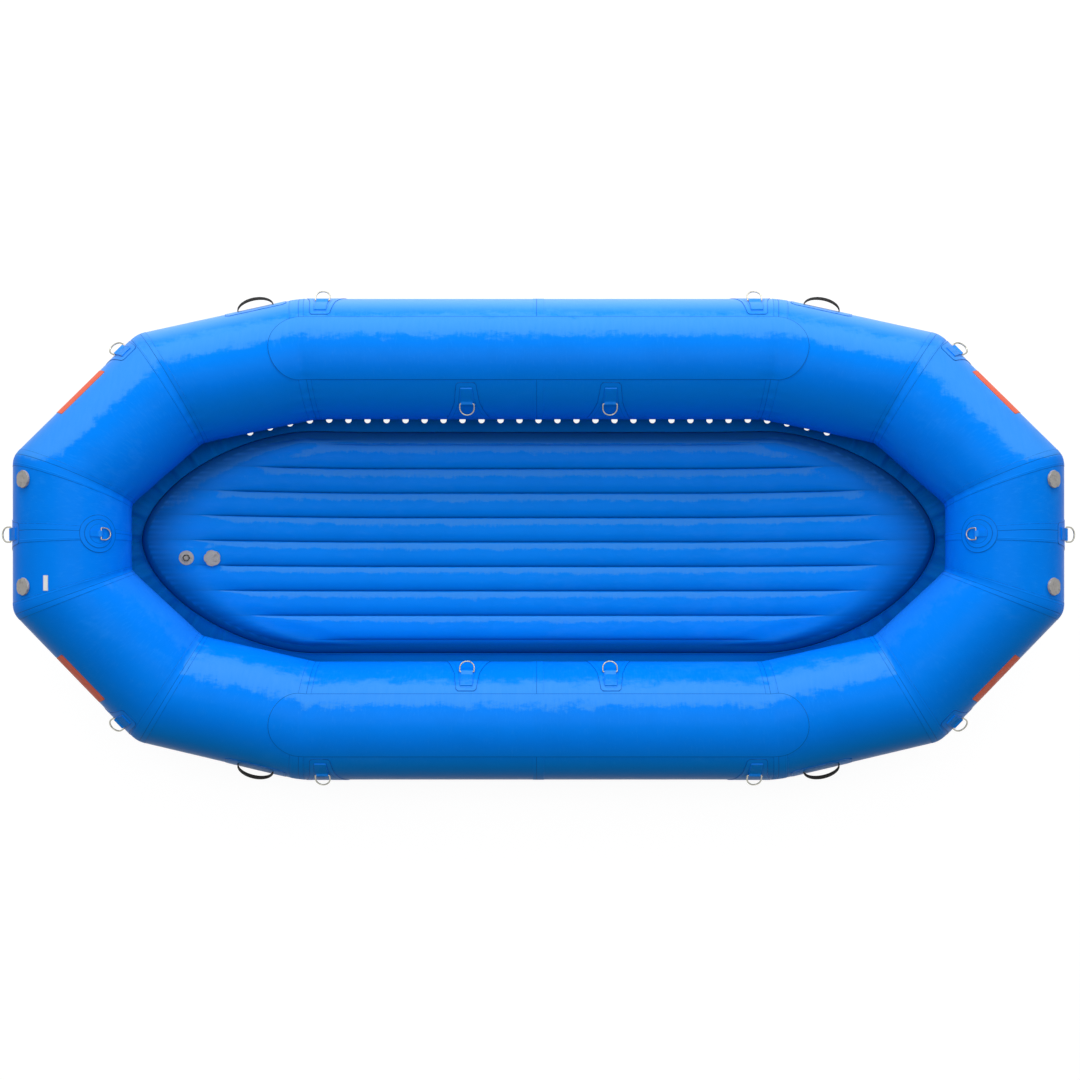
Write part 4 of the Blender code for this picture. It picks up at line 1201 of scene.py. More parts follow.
def lathe(
    name: str,
    seat: tuple,
    profile: Sequence,
    signs: tuple,
    sides: int = 80,
    reach: Optional[Callable] = None,
) -> Any:
    """A closed profile of radius and height, turned about a seat's outward axis.

    Args:
        name: The piece's name.
        seat: Origin, two directions in its plane and its axis.
        profile: Radius and height pairs of a closed outline.
        signs: The quarter's signs.
        sides: Steps of the turn.
        reach: Radius at an angle, or None.

    Returns:
        The object.
    """
    sharp = 30
    origin, first, second, axis = (np.asarray(part, float) for part in seat)
    rows = []
    for angle in round_angles(sides):
        spoke = first * math.cos(angle) + second * math.sin(angle)
        rows.append([origin + spoke * (reach(angle, r) if reach else r) + axis * h for r, h in profile])
    made = mesh_object(name, rows, grid_faces(sides, len(profile), True, True), None, sharp, signs)
    face_outward(made, 1e-6)
    shade(made.data, sharp)
    return made


def rounded(profile: Sequence, steps: int = 4) -> list:
    """A closed profile with its corners rounded.

    Args:
        profile: Corner points, each with its rounding, 0 for none.
        steps: Points on each rounding.

    Returns:
        The points.
    """
    made = []
    corners = np.array(profile, float)
    places = corners[:, :2]
    for index, radius in enumerate(corners[:, 2]):
        point = places[index]
        if radius <= 0:
            made.append(tuple(point))
            continue
        before = places[index - 1] - point
        after = places[(index + 1) % len(places)] - point
        before *= min(radius / np.linalg.norm(before), 0.45)
        after *= min(radius / np.linalg.norm(after), 0.45)
        for step in range(steps + 1):
            share = step / steps
            made.append(tuple(point + before * (1 - share) ** 2 + after * share**2))
    return made


def glued_sheet(made: Any, outline: Sequence) -> None:
    """Works out the width, length and area of a glued sheet's cut, which nothing then uses.

    Args:
        made: The object; not used.
        outline: Distance and half width pairs of the cut.
    """
    width = 2 * max(half for _, half in outline)
    length = outline[-1][0] - outline[0][0]
    area = sum((low[0] - high[0]) * (low[1] + high[1]) for high, low in zip(outline, outline[1:]))


# Sub-assemblies.


@dataclass
class Chambers:
    """The four air chambers, their seam tapes and the walls between them."""

    skin: TubeSkin
    tape_half: float = 0.0285
    side_tape_half: float = 0.022
    tape_lift: float = 0.0009
    tape_sunk: float = -0.0006
    wall_sag: float = 0.03
    gap: float = 0.0006
    ring_step: float = 0.009
    fabric: CoatedFabric = CoatedFabric("tube fabric")
    tape: TapeFabric = TapeFabric("seam tape")
    wall: CoatedFabric = CoatedFabric(
        "baffle fabric", (0.0, 0.13, 0.6), (0.01, 0.16, 0.6), (0.0, 0.1, 0.5), sheen_painted=False,
    )

    def build(self) -> None:
        """Makes every piece of the sub-assembly."""
        fabric, tape, wall = self.fabric.build(), self.tape.build(), self.wall.build()
        last = len(self.skin.corners) - 1
        for quarter in Quarter:
            chamber = place_piece(self.chamber(quarter), fabric, nodes=["chamber_" + quarter.tag])
            self.add_tape("seam_tapes_" + quarter.tag, SEAMS, self.tape_half, quarter, tape)
        for name, corner, quarter in (
            ("port", 0, Quarter.BOW_PORT),
            ("starboard", 0, Quarter.STERN_STARBOARD),
            ("bow", last, Quarter.BOW_PORT),
            ("stern", last, Quarter.STERN_STARBOARD),
        ):
            made = self.baffle(name, corner, quarter)
            place_piece(made, wall, nodes=["baffle_" + name])
        for name, corner, half, quarter in (
            ("side_port", 0, self.side_tape_half, Quarter.BOW_PORT),
            ("side_starboard", 0, self.side_tape_half, Quarter.BOW_STARBOARD),
            ("end_bow", last, self.tape_half, Quarter.BOW_PORT),
            ("end_stern", last, self.tape_half, Quarter.STERN_PORT),
        ):
            self.add_tape("seam_tape_" + name, (corner,), half, quarter, tape)

    def chamber(self, quarter: Quarter) -> Any:
        """The skin of one quarter, open where its air walls are.

        Args:
            quarter: The quarter.

        Returns:
            The object.
        """
        skin = self.skin
        stations = np.linspace(self.gap, skin.total - self.gap, int(skin.total / self.ring_step))[:, None]
        angles = round_angles(skin.turns)[None, :]
        nearest = np.abs(stations - skin.starts).min(1)[:, None]
        chart = np.stack(np.broadcast_arrays(stations, angles * skin.side_radius, nearest), -1)
        faces = grid_faces(len(stations), skin.turns, wrap_columns=True)
        points = skin.at(stations, angles)
        name = "air_chamber_" + quarter.tag
        return mesh_object(name, points, faces, chart, 60, quarter.value, outward=True)

    def add_tape(
        self, name: str, corners: Sequence[int], half: float, quarter: Quarter, material: bpy.types.Material
    ) -> None:
        """Args:
            name: The piece's name.
            corners: Numbers of the axis corners that it goes round.
            half: Half its width.
            quarter: The quarter that it lies on.
            material: Its material.
        """
        skin = self.skin
        margin, soft, flat = 0.0005, 0.001, 0.85
        rim = [-half - margin, -half, -half + soft]
        middle = np.linspace(-half * flat, half * flat, 13)
        across = np.array([*rim, *middle, *(-place for place in reversed(rim))])[:, None]
        lift = np.full(across.shape, self.tape_lift)
        lift[[0, -1]] = self.tape_sunk
        lift[[1, -2]] = self.tape_lift * 0.7
        angles = round_angles(skin.turns)[None, :]
        points = [skin.at(skin.starts[corner] + across, angles, lift) for corner in corners]
        chart = np.stack(np.broadcast_arrays(across, angles * skin.side_radius, 0.0), -1)
        ring = np.array(grid_faces(len(across), skin.turns, wrap_columns=True))
        faces = np.concatenate([ring + number * across.size * skin.turns for number in range(len(corners))])
        signs = quarter.value
        faces = turned_over(faces.tolist(), signs[0] * signs[1] < 0)
        made = mesh_object(name, points, faces, [chart] * len(corners), 50, signs)
        place_piece(aim_outward(made, mirrored(skin.corners, signs)), material)

    def baffle(self, name: str, corner: int, quarter: Quarter) -> Any:
        """The domed wall between two chambers.

        Args:
            name: The wall's name.
            corner: Number of the axis corner that it closes.
            quarter: The quarter that it is made in.

        Returns:
            The object.
        """
        skin = self.skin
        sides = 64
        rim = skin.mitre(corner, round_angles(sides))
        centre = skin.corners[corner]
        sag = skin.ways[min(corner, len(skin.ways) - 1)] * self.wall_sag
        rings = np.linspace(0, 0.995, 14)
        points = [centre + (rim - centre) * ring + sag * math.cos(ring * math.pi / 2) for ring in rings]
        faces = grid_faces(len(rings), sides, wrap_columns=True)
        return mesh_object("air_wall_" + name, points, faces, None, 60, quarter.value)


@dataclass
class FloorMattress:
    """The ribbed air floor: beams between webs, rolled rim and its boss for the valves."""

    half_length: float = 1.65
    half_width: float = 0.479
    straight: float = 0.965
    rocker_start: float = 0.70
    kick: float = 0.20
    clearance: float = 0.012
    thickness: float = 0.105
    crease: float = 0.070
    rim: float = 0.058
    roll: float = 0.035
    roll_down: float = 0.12
    fade: float = 0.20
    pitch: float = 0.105
    beams: int = 8
    columns: int = 281
    beam_lines: int = 15
    side_lines: int = 7
    rim_lines: int = 13
    crowding: float = 0.86
    beam_power: float = 2.1
    beam_fullness: float = 0.9
    oval_power: float = 1.7
    rocker_power: float = 1.6
    crown: float = 0.004
    smooth_share: float = 0.62
    seat_reach: tuple = (0.034, 0.060)
    shade_reach: float = 0.21
    shade_narrowing: float = 4.0
    # Takes painted shade from the chart and painted highlights on port-facing slopes.
    fabric: CoatedFabric = CoatedFabric(
        "floor fabric", (0.0, 0.248, 0.94), deep=(0.0, 0.185, 0.74), ripple=0.0009, ripple_scale=24.0,
        scuffed=0.25, shaded=0.85, sheen_from=0.09, streaks=(14.0, 45.0),
    )
    seats: tuple = (
        ((-1.366, -0.075, 0.22935), (0.2651, -0.07309, 0.96145)),
        ((-1.466, -0.075, 0.25571), (0.22122, -0.02193, 0.97498)),
    )

    def __post_init__(self) -> None:
        """Works out half the width of the beams and the half sizes inside the rolled rim."""
        self.beam_edge = self.beams / 2 * self.pitch
        self.inner_length = self.half_length - self.roll
        self.inner_width = self.half_width - self.roll

    def oval(self, across: Array) -> Array:
        """How far the plan reaches along X at a distance across, inside the rim."""
        share = np.minimum(np.abs(across) / self.inner_width, 1) ** self.oval_power
        return self.straight + (self.inner_length - self.straight) * (1 - share) ** (1 / self.oval_power)

    def middle(self, x: Array) -> Array:
        """Height of the floor's middle surface."""
        run = np.maximum(np.abs(x) - self.rocker_start, 0) / (self.half_length - self.rocker_start)
        return self.kick * run**self.rocker_power + self.clearance + self.thickness / 2

    def depth(self, x: Array, across: Array) -> Array:
        """The full thickness inside the rim.

        Args:
            x: Places along the floor.
            across: Places across it.

        Returns:
            One thickness for each.
        """
        to_end = self.oval(across) - np.abs(x)
        to_side = self.inner_width - np.abs(across)
        outside = np.abs(across) >= self.beam_edge
        place = np.mod(across / self.pitch, 1.0)
        beam = np.clip(1 - np.abs(2 * place - 1) ** self.beam_power, 0, 1)
        beam = np.sqrt(beam) ** self.beam_fullness
        beam = np.where(outside, 0.0, beam)
        smooth = self.crease + (self.thickness - self.crease) * self.smooth_share
        wander = 0.03 * np.sin(17 * across + 5) + 0.02 * np.sin(41 * across + 1)
        share = ramp(to_end + wander, self.roll_down, self.roll_down + self.fade)
        creased = self.crease + (self.thickness + self.crown - self.crease) * beam
        full = smooth + (creased - smooth) * share
        side = ramp(to_side, 0, self.inner_width - self.beam_edge)
        side = np.where(outside, np.sqrt(np.clip(side, 0, 1)), side)
        end = ramp(to_end, 0, self.roll_down)
        return self.rim + (full - self.rim) * np.minimum(np.sqrt(end), side)

    def seated(self, points: Array) -> Array:
        """Draws the top down to the valves' seats near them.

        Args:
            points: Points of the top.

        Returns:
            The same points, moved.
        """
        x, y, _ = points.T
        for place, normal in self.seats:
            share = 1 - ramp(np.hypot(x - place[0], y - place[1]), *self.seat_reach)
            plane = place[2] - ((x - place[0]) * normal[0] + (y - place[1]) * normal[1]) / normal[2]
            points[:, 2] += (plane - points[:, 2]) * share
        return points

    def grid(self) -> tuple[Array, Array]:
        """Plan places of the grid's points, with lines closer at the webs.

        Returns:
            Places along the floor and across it.
        """
        cell = 0.5 - 0.5 * np.cos(np.pi * np.linspace(0, 1, self.beam_lines)[:-1])
        lines = [(beam - self.beams / 2 + cell) * self.pitch for beam in range(self.beams)]
        side = np.linspace(self.beam_edge, self.inner_width, self.side_lines)
        across = np.concatenate([-side[::-1][:-1], *lines, side])[:, None]
        turn = math.pi / 2 * self.crowding
        share = np.sin(np.linspace(-1, 1, self.columns) * turn) / math.sin(turn)
        return share[None, :] * self.oval(across), np.repeat(across, self.columns, 1)

    def border(self, x: Array, across: Array) -> tuple[Array, Array, Array]:
        """The grid's border, once round.

        Args:
            x: Places along the floor.
            across: Places across it.

        Returns:
            Its point numbers, its plan points and the plan directions square to it.
        """
        grid = np.arange(x.size).reshape(x.shape)
        numbers = np.concatenate([grid[0], grid[1:, -1], grid[-1, -2::-1], grid[-2:0:-1, 0]])
        border = np.stack([x.ravel()[numbers], across.ravel()[numbers]], -1)
        ways = np.zeros(border.shape)
        for step in (border - np.roll(border, 1, 0), np.roll(border, -1, 0) - border):
            square = np.stack([step[:, 1], -step[:, 0]], -1)
            ways += square / np.maximum(np.linalg.norm(square, axis=1, keepdims=True), 1e-9)
        ways /= np.maximum(np.linalg.norm(ways, axis=1, keepdims=True), 1e-9)
        for _ in range(6):
            ways = (np.roll(ways, 1, 0) + 2 * ways + np.roll(ways, -1, 0)) / 4
        return numbers, border, ways / np.linalg.norm(ways, axis=1, keepdims=True)

    def sunk(self, x: Array, across: Array, border: Array) -> Array:
        """How much painted shade each grid point takes, from 0 to 1: near the rim, in the creases and on each
        beam's starboard side.

        Args:
            x: Places along the floor.
            across: Places across it.
            border: Plan points of the grid's border.

        Returns:
            One number per grid point.
        """
        stretch = np.array([1.0, self.shade_narrowing])
        points = np.stack([x, across], -1).reshape(-1, 2) * stretch
        gap = np.full(len(points), np.inf)
        for part in np.array_split(border[::2] * stretch, 40):
            gap = np.minimum(gap, np.linalg.norm(points[:, None] - part[None], axis=2).min(1))
        # Painted shade near the rim, in the creases and on the starboard side of each beam.
        rim = (1 - ramp(gap, -0.04, self.shade_reach)) ** 1.3
        place = np.mod(across.ravel() / self.pitch, 1.0)
        inside = ramp(gap, 0.0, self.fade) * (np.abs(across.ravel()) < self.beam_edge)
        crease = np.exp(-(np.minimum(place, 1 - place) / 0.045) ** 2) * inside
        low_side = ramp(1 - place, 0.45, 1.0) * inside
        return np.clip(rim + crease * 0.20 + low_side * 0.20, 0, 1)

    def rim_line(self) -> Array:
        """The floor's outer edge, once round."""
        _, border, ways = self.border(*self.grid())
        return np.column_stack([border + ways * self.roll, self.middle(border[:, 0])])

    def make(self) -> Any:
        """Makes the mattress as one closed skin.

        Returns:
            The object.
        """
        x, across = self.grid()
        half, mid = self.depth(x, across) / 2, self.middle(x)
        top = self.seated(np.stack([x, across, mid + half], -1).reshape(-1, 3))
        bottom = np.stack([x, across, mid - half], -1).reshape(-1, 3)
        numbers, border, ways = self.border(x, across)
        rims, loops = [], [numbers]
        for ring, turn in enumerate(np.linspace(0, math.pi, self.rim_lines)[1:-1]):
            height = self.middle(border[:, 0]) + self.rim / 2 * math.cos(turn)
            rims.append(np.column_stack([border + ways * self.roll * math.sin(turn), height]))
            loops.append(2 * x.size + ring * len(numbers) + np.arange(len(numbers)))
        loops = np.array([*loops, x.size + numbers])
        beside = np.roll(loops, -1, 1)
        faces = grid_faces(*x.shape)
        faces += [[x.size + i for i in reversed(face)] for face in faces]
        faces += np.stack([loops[:-1], beside[:-1], beside[1:], loops[1:]], -1).reshape(-1, 4).tolist()
        points = np.concatenate([top, bottom, *rims])
        # Painted shade amount per point: from sunk on the top, full on the bottom and the rolled rim.
        sunk = np.concatenate([self.sunk(x, across, border), np.ones(len(points) - x.size)])
        chart = np.column_stack([points[:, :2], sunk])
        return mesh_object("air_floor", points, faces, chart, 70, outward=True)

    def build(self) -> None:
        """Makes the floor."""
        made = place_piece(self.make(), self.fabric.build(), nodes=["floor_mattress"])


@dataclass
class DrainSkirt:
    """The sheet that joins floor and tubes, with its drain holes and puckers."""

    skin: TubeSkin
    floor: FloorMattress
    thickness: float = 0.0015
    tube_gap: float = 0.0006
    floor_gap: float = 0.0003
    band: float = 0.026
    facet: float = 20.5
    columns: int = 420
    sag: float = 0.006
    gathered: tuple = (1.15, 1.55)
    shares: tuple = (0.08, 0.2, 0.31, 0.42, 0.53, 0.64, 0.76, 0.88)
    hole_radius: float = 0.0135
    pitch: float = 0.0825
    reach: int = 15
    hole_share: float = 0.48
    hole_sides: int = 28
    pucker: float = 0.006
    # Its blue is darker than the tubes' as painted shade, with more painted shade from the chart.
    fabric: CoatedFabric = CoatedFabric(
        "skirt fabric", (0.0, 0.205, 0.62), (0.005, 0.23, 0.64), (0.0, 0.14, 0.45), rough=0.45, ripple=0.0007,
        ripple_scale=22.0, sheen_painted=False, shaded=0.75,
    )

    def edge_pairs(self) -> tuple[Array, Array]:
        """The floor's edge in the bow port quarter and where it meets the tube.

        Returns:
            Evenly spaced points of the edge, and the tube's station for each.
        """
        rim = self.floor.rim_line()
        quarter = rim[(rim[:, 0] >= -1e-6) & (rim[:, 1] >= -1e-6)]
        quarter = quarter[np.lexsort((quarter[:, 0], -np.round(quarter[:, 1], 4)))]
        quarter[0, 0], quarter[-1, 1] = 0.0, 0.0
        run = distances(quarter)
        even = np.linspace(0, run[-1], self.columns)
        line = np.stack([np.interp(even, run, quarter[:, axis]) for axis in range(3)], -1)
        run = distances(line[:, :2])
        angle = np.array([2 * math.pi * self.facet / FACETS])
        marks = [0.0]
        for corner in SEAMS:
            x, y, _ = self.skin.mitre(corner, angle)[0]
            marks.append(run[np.argmin(np.hypot(line[:, 0] - x, line[:, 1] - y))])
        return line, np.interp(run, [*marks, run[-1]], self.skin.starts)

    def sheet(self) -> Array:
        """Points of the sheet in the bow port quarter, one row per place along it.

        Returns:
            The points, from the floor to the tube in each row.
        """
        line, station = self.edge_pairs()
        angle = 2 * math.pi * self.facet / FACETS
        spread = 2 * math.pi / FACETS
        lift = self.thickness + self.tube_gap
        tangent = np.gradient(line, axis=0)[:, :2]
        tangent /= np.linalg.norm(tangent, axis=1, keepdims=True)
        outward = np.stack([-tangent[:, 1], tangent[:, 0]], -1)
        outward *= np.sign((outward * line[:, :2]).sum(1))[:, None]
        line[:, :2] += outward * self.floor_gap
        top, low = line.copy(), line.copy()
        top[:, 2] += self.band / 2
        low[:, 2] -= self.band / 2 - 0.004
        tube, glued, edge = (self.skin.at(station, angle - spread * part, lift) for part in (0.1, 0.35, 0.9))
        rows = [top, (top + low) / 2, low]
        for share in self.shares:
            rows.append(low * (1 - share) + tube * share)
            rows[-1][:, 2] -= self.sag * math.sin(math.pi * share)
        return np.stack([*rows, tube, glued, edge], 1)

    def make(self) -> tuple[Any, tuple[float, float]]:
        """Makes the skirt right round, with its holes.

        Returns:
            The object, and the width and length of its cut.
        """
        grid = self.sheet()
        along = distances(grid[:, 6])
        weight = np.sin(np.pi * np.clip((np.arange(grid.shape[1]) - 1.5) / 10, 0, 1)) ** 0.7
        gather = ramp(along, *self.gathered)
        folds = np.sin(along * 71 + 2.5 * np.sin(along * 9)) + 0.6 * np.sin(along * 133 + 1.7)
        pleats = np.sin(along * 230 + 2.2 * np.sin(along * 17))
        grid[..., 2] += (self.pucker * gather * folds)[:, None] * weight[None, :]
        # Painted shade: the whole skirt darkened evenly, and in stripes of the folds and finer pleats towards
        # the ends; the finer pleats are not in its shape.
        sunk = np.repeat((0.45 + gather * (0.2 * folds + 0.3 * pleats))[:, None], grid.shape[1], 1)
        ring, shaded = [], []
        for signs in ((1, 1), (-1, 1), (-1, -1), (1, -1)):
            order = slice(None, None, -signs[0] * signs[1])
            ring.append(mirrored(grid, signs)[order][:-1])
            shaded.append(sunk[order][:-1])
        ring = np.concatenate(ring)
        chart = np.dstack([ring[..., :2], np.concatenate(shaded)])
        made = mesh_object("self_bailing_skirt", ring, grid_faces(*ring.shape[:2], wrap_rows=True), chart, 60)
        self.cut(made, self.hole_cutter(grid))
        width = float(np.linalg.norm(np.diff(grid, axis=1), axis=2).sum(1).mean())
        return made, (width, float(4 * along[-1]))

    def cut(self, made: Any, cutter: Any) -> None:
        """Thickens the sheet and cuts the holes.

        Args:
            made: The sheet.
            cutter: The prisms, which are removed after the cut.
        """
        solid = made.modifiers.new("thickness", "SOLIDIFY")
        solid.thickness = self.thickness
        solid.offset = 0
        cut = made.modifiers.new("drain holes", "BOOLEAN")
        cut.operation = "DIFFERENCE"
        cut.solver = "EXACT"
        cut.object = cutter
        bpy.context.view_layer.update()
        graph = bpy.context.evaluated_depsgraph_get()
        mesh = bpy.data.meshes.new_from_object(made.evaluated_get(graph))
        made.modifiers.clear()
        made.data = mesh
        bpy.data.objects.remove(cutter)
        shade(mesh, 50)

    def hole_cutter(self, grid: Array) -> Any:
        """Upright prisms for the drain holes of both sides.

        Args:
            grid: The sheet's points.

        Returns:
            The object.
        """
        sides, reach = self.hole_sides, 0.03
        line = grid[:, 2] * (1 - self.hole_share) + grid[:, 11] * self.hole_share
        around = np.stack([np.cos(round_angles(sides)), np.sin(round_angles(sides))], -1) * self.hole_radius
        step = np.arange(sides)
        beside = (step + 1) % sides
        prism = np.stack([step, beside, beside + sides, step + sides], -1).tolist()
        prism += [step[::-1].tolist(), (step + sides).tolist()]
        points, faces = [], []
        for index in range(-self.reach, self.reach + 1):
            x = index * self.pitch
            y, z = (np.interp(abs(x), line[:, 0], line[:, axis]) for axis in (1, 2))
            for side in (1, -1):
                base = len(points) * sides
                faces += [[base + i for i in face] for face in prism]
                circle = (around + (x, y)) * (1, side)
                for height in (z - reach, z + reach):
                    points.append(np.column_stack([circle, np.full(sides, height)]))
        return mesh_object("drain_hole_cutter", points, faces, outward=True)

    def build(self) -> None:
        """Makes the skirt."""
        made, flat = self.make()
        place_piece(made, self.fabric.build(), nodes=["drain_skirt"])


@dataclass(frozen=True)
class RingSize:
    """Sizes of one kind of ring and of the strap that holds it."""

    wire: float
    half_width: float
    length: float
    strap_half: float
    strap_back: float


@dataclass
class RingSet:
    """The lashing rings with their patches, straps and rolled eyes."""

    skin: TubeSkin
    full: RingSize = RingSize(0.006, 0.029, 0.047, 0.0238, 0.073)
    small: RingSize = RingSize(0.005, 0.0225, 0.038, 0.0118, 0.040)
    glue: float = 0.0004
    patch: float = 0.0015
    webbing: float = 0.004
    eye_wall: float = 0.002
    eye_gap: float = 0.0006
    rest_gap: float = 0.0006
    patch_length: float = 0.24
    patch_width: float = 0.18
    bar: float = 0.097
    round_radius: float = 0.073
    cover_radius: float = 0.055
    cover_share: float = 1.7
    round_middle: float = -0.006
    rest_fall: float = math.radians(28)
    outline: tuple = ((0, 0.37), (0.04, 0.46), (0.4, 0.58), (0.75, 0.86), (0.93, 1), (1, 0.9))
    steel: RingSteel = RingSteel("ring steel")
    fabric: PatchFabric = PatchFabric("patch fabric")
    strap: BlueWebbing = BlueWebbing("ring strap")

    def build(self) -> None:
        """Makes every ring, patch and strap."""
        materials = (self.steel.build(), self.fabric.build(), self.strap.build())
        places = {
            "side_outer": TubePlace(self.skin, 0, 0.875, 0.58905),
            "side_inner": TubePlace(self.skin, 0, 0.29, 2.55254, 1),
            "quarter": TubePlace(self.skin, 2, 0.04, 0.54649),
        }
        for quarter in Quarter:
            for name, place in places.items():
                self.full_ring(f"{name}_{quarter.tag}", place, quarter.value, materials)
        outer = TubePlace(self.skin, 3, self.skin.end_half_length, 0.45420)
        inner = TubePlace(self.skin, 3, self.skin.end_half_length, 2.41769, 1)
        for end in End:
            self.full_ring("end_outer_" + end.tag, outer, end.value, materials)
            self.small_ring("end_inner_" + end.tag, inner, end.value, materials)

    def eye_height(self, wire: float) -> float:
        """Height of the bar's middle over the tube."""
        return self.patch + wire / 2 + self.eye_gap + self.eye_wall

    def fallen(self, wire: float, layers: float, radius: float) -> float:
        """Angle below the tube's tangent of a ring that lies on the layers glued there."""
        clear = self.eye_height(wire) - self.glue - layers - wire / 2 - self.rest_gap
        return math.atan2(clear, radius * math.tan(math.pi / FACETS))

    def standing(self, place: TubePlace) -> float:
        """Angle below the tube's tangent of a ring that its stiff webbing holds out."""
        return self.rest_fall - math.asin(-place.axes()[1][2])

    def ring(self, name: str, place: TubePlace, size: RingSize, angle: float, signs: tuple) -> Any:
        """One wire ring at rest.

        Args:
            name: The piece's name.
            place: Its place.
            size: Its sizes.
            angle: Its angle below the tube's tangent.
            signs: The quarter's signs.

        Returns:
            The object.
        """
        half, straight, bend = size.half_width, size.length - size.half_width, size.wire * 0.7
        bar = [(0.0, v) for v in np.linspace(-half + bend, half - bend, 9)]
        turns = np.linspace(0.2, math.pi / 2, 6)
        arm = [(bend - bend * math.cos(t), half - bend + bend * math.sin(t)) for t in turns]
        arm += [(u, half) for u in np.linspace(bend, straight, 5)[1:]]
        bow = [(straight + half * math.sin(t), half * math.cos(t)) for t in np.linspace(0, math.pi, 33)[1:]]
        back = [(u, -v) for u, v in reversed(arm[:-1])]
        origin, down, across, outward = place.axes()
        origin = origin + outward * self.eye_height(size.wire)
        fall = down * math.cos(angle) - outward * math.sin(angle)
        points = np.array([origin + fall * u + across * v for u, v in [*bar, *arm, *bow, *back]])
        return swept_wire(name, points, size.wire / 2, signs)

    def strap_section(self, size: RingSize) -> tuple[Array, Array]:
        """Section of the strap and its rolled eye.

        Args:
            size: Sizes of its ring.

        Returns:
            Distances downhill with heights, and how far each belongs to the roll.
        """
        back, centre = size.strap_back, self.eye_height(size.wire)
        outer = size.wire / 2 + self.eye_gap + self.eye_wall
        low = self.glue + self.patch * 0.4
        high = self.glue + self.patch + self.webbing
        edge = [(-back, low), (-back - 0.0006, high - 0.0018)]
        edge += [(-back + 0.0004, high - 0.0003), (-back + 0.0025, high)]
        flat = [(d, high) for d in np.linspace(-back + 0.008, -outer * 2.6, 7)]
        rise = [(-outer * 2.1, high + 0.0004), (-outer * 1.55, high + 0.0019), (-outer * 1.15, high + 0.0040)]
        turns = np.linspace(math.radians(138), -math.pi / 2, 19)
        roll = [(outer * math.cos(t), centre + outer * math.sin(t)) for t in turns]
        under = [(-outer * 1.5, low), (-outer * 3, low)]
        rolled = [0.0] * (len(edge) + len(flat)) + [0.3, 0.7, 1.0] + [1.0] * len(roll) + [0.0] * len(under)
        return np.array([*edge, *flat, *rise, *roll, *under]), np.array(rolled)

    def hang(
        self, name: str, place: TubePlace, size: RingSize, angle: float, signs: tuple, materials: tuple
    ) -> None:
        """Makes a place's strap and its ring.

        Args:
            name: The place's name.
            place: The place.
            size: The ring's sizes.
            angle: The ring's angle below the tube's tangent.
            signs: The quarter's signs.
            materials: Steel, patch and strap materials.
        """
        steel, _, webbing = materials
        section, rolled = self.strap_section(size)
        eye = swept_section("ring_strap_" + name, place, section, size.strap_half, rolled, signs)
        place_piece(eye, webbing)
        ring = self.ring("lashing_ring_" + name, place, size, angle, signs)
        place_piece(ring, steel, "d_ring_" + name, ["d_ring_" + name])

    def full_ring(self, name: str, place: TubePlace, signs: tuple, materials: tuple) -> None:
        """A full size ring on its flared patch.

        Args:
            name: The place's name.
            place: The place.
            signs: The quarter's signs.
            materials: Steel, patch and strap materials.
        """
        outline = [(d * self.patch_length, h * self.patch_width / 2) for d, h in self.outline]
        patch = flared_sheet("ring_patch_" + name, place, outline, self.glue + self.patch, signs, -self.bar)
        place_piece(patch, materials[1], nodes=["patch_" + name])
        glued_sheet(patch, outline)
        self.hang(name, place, self.full, self.standing(place), signs, materials)

    def small_ring(self, name: str, place: TubePlace, signs: tuple, materials: tuple) -> None:
        """A small ring on a round patch and its cover.

        Args:
            name: The place's name.
            place: The place.
            signs: The end's signs.
            materials: Steel, patch and strap materials.
        """
        covered = self.patch * self.cover_share
        for kind, radius, top, nodes in (
            ("ring_patch_", self.round_radius, self.patch, ["patch_" + name]),
            ("ring_cover_", self.cover_radius, covered, []),
        ):
            sheet = round_sheet(kind + name, place, radius, self.glue + top, signs, self.round_middle)
            place_piece(sheet, materials[1], nodes=nodes)
        angle = self.fallen(self.small.wire, covered, place.radius)
        self.hang(name, place, self.small, angle, signs, materials)


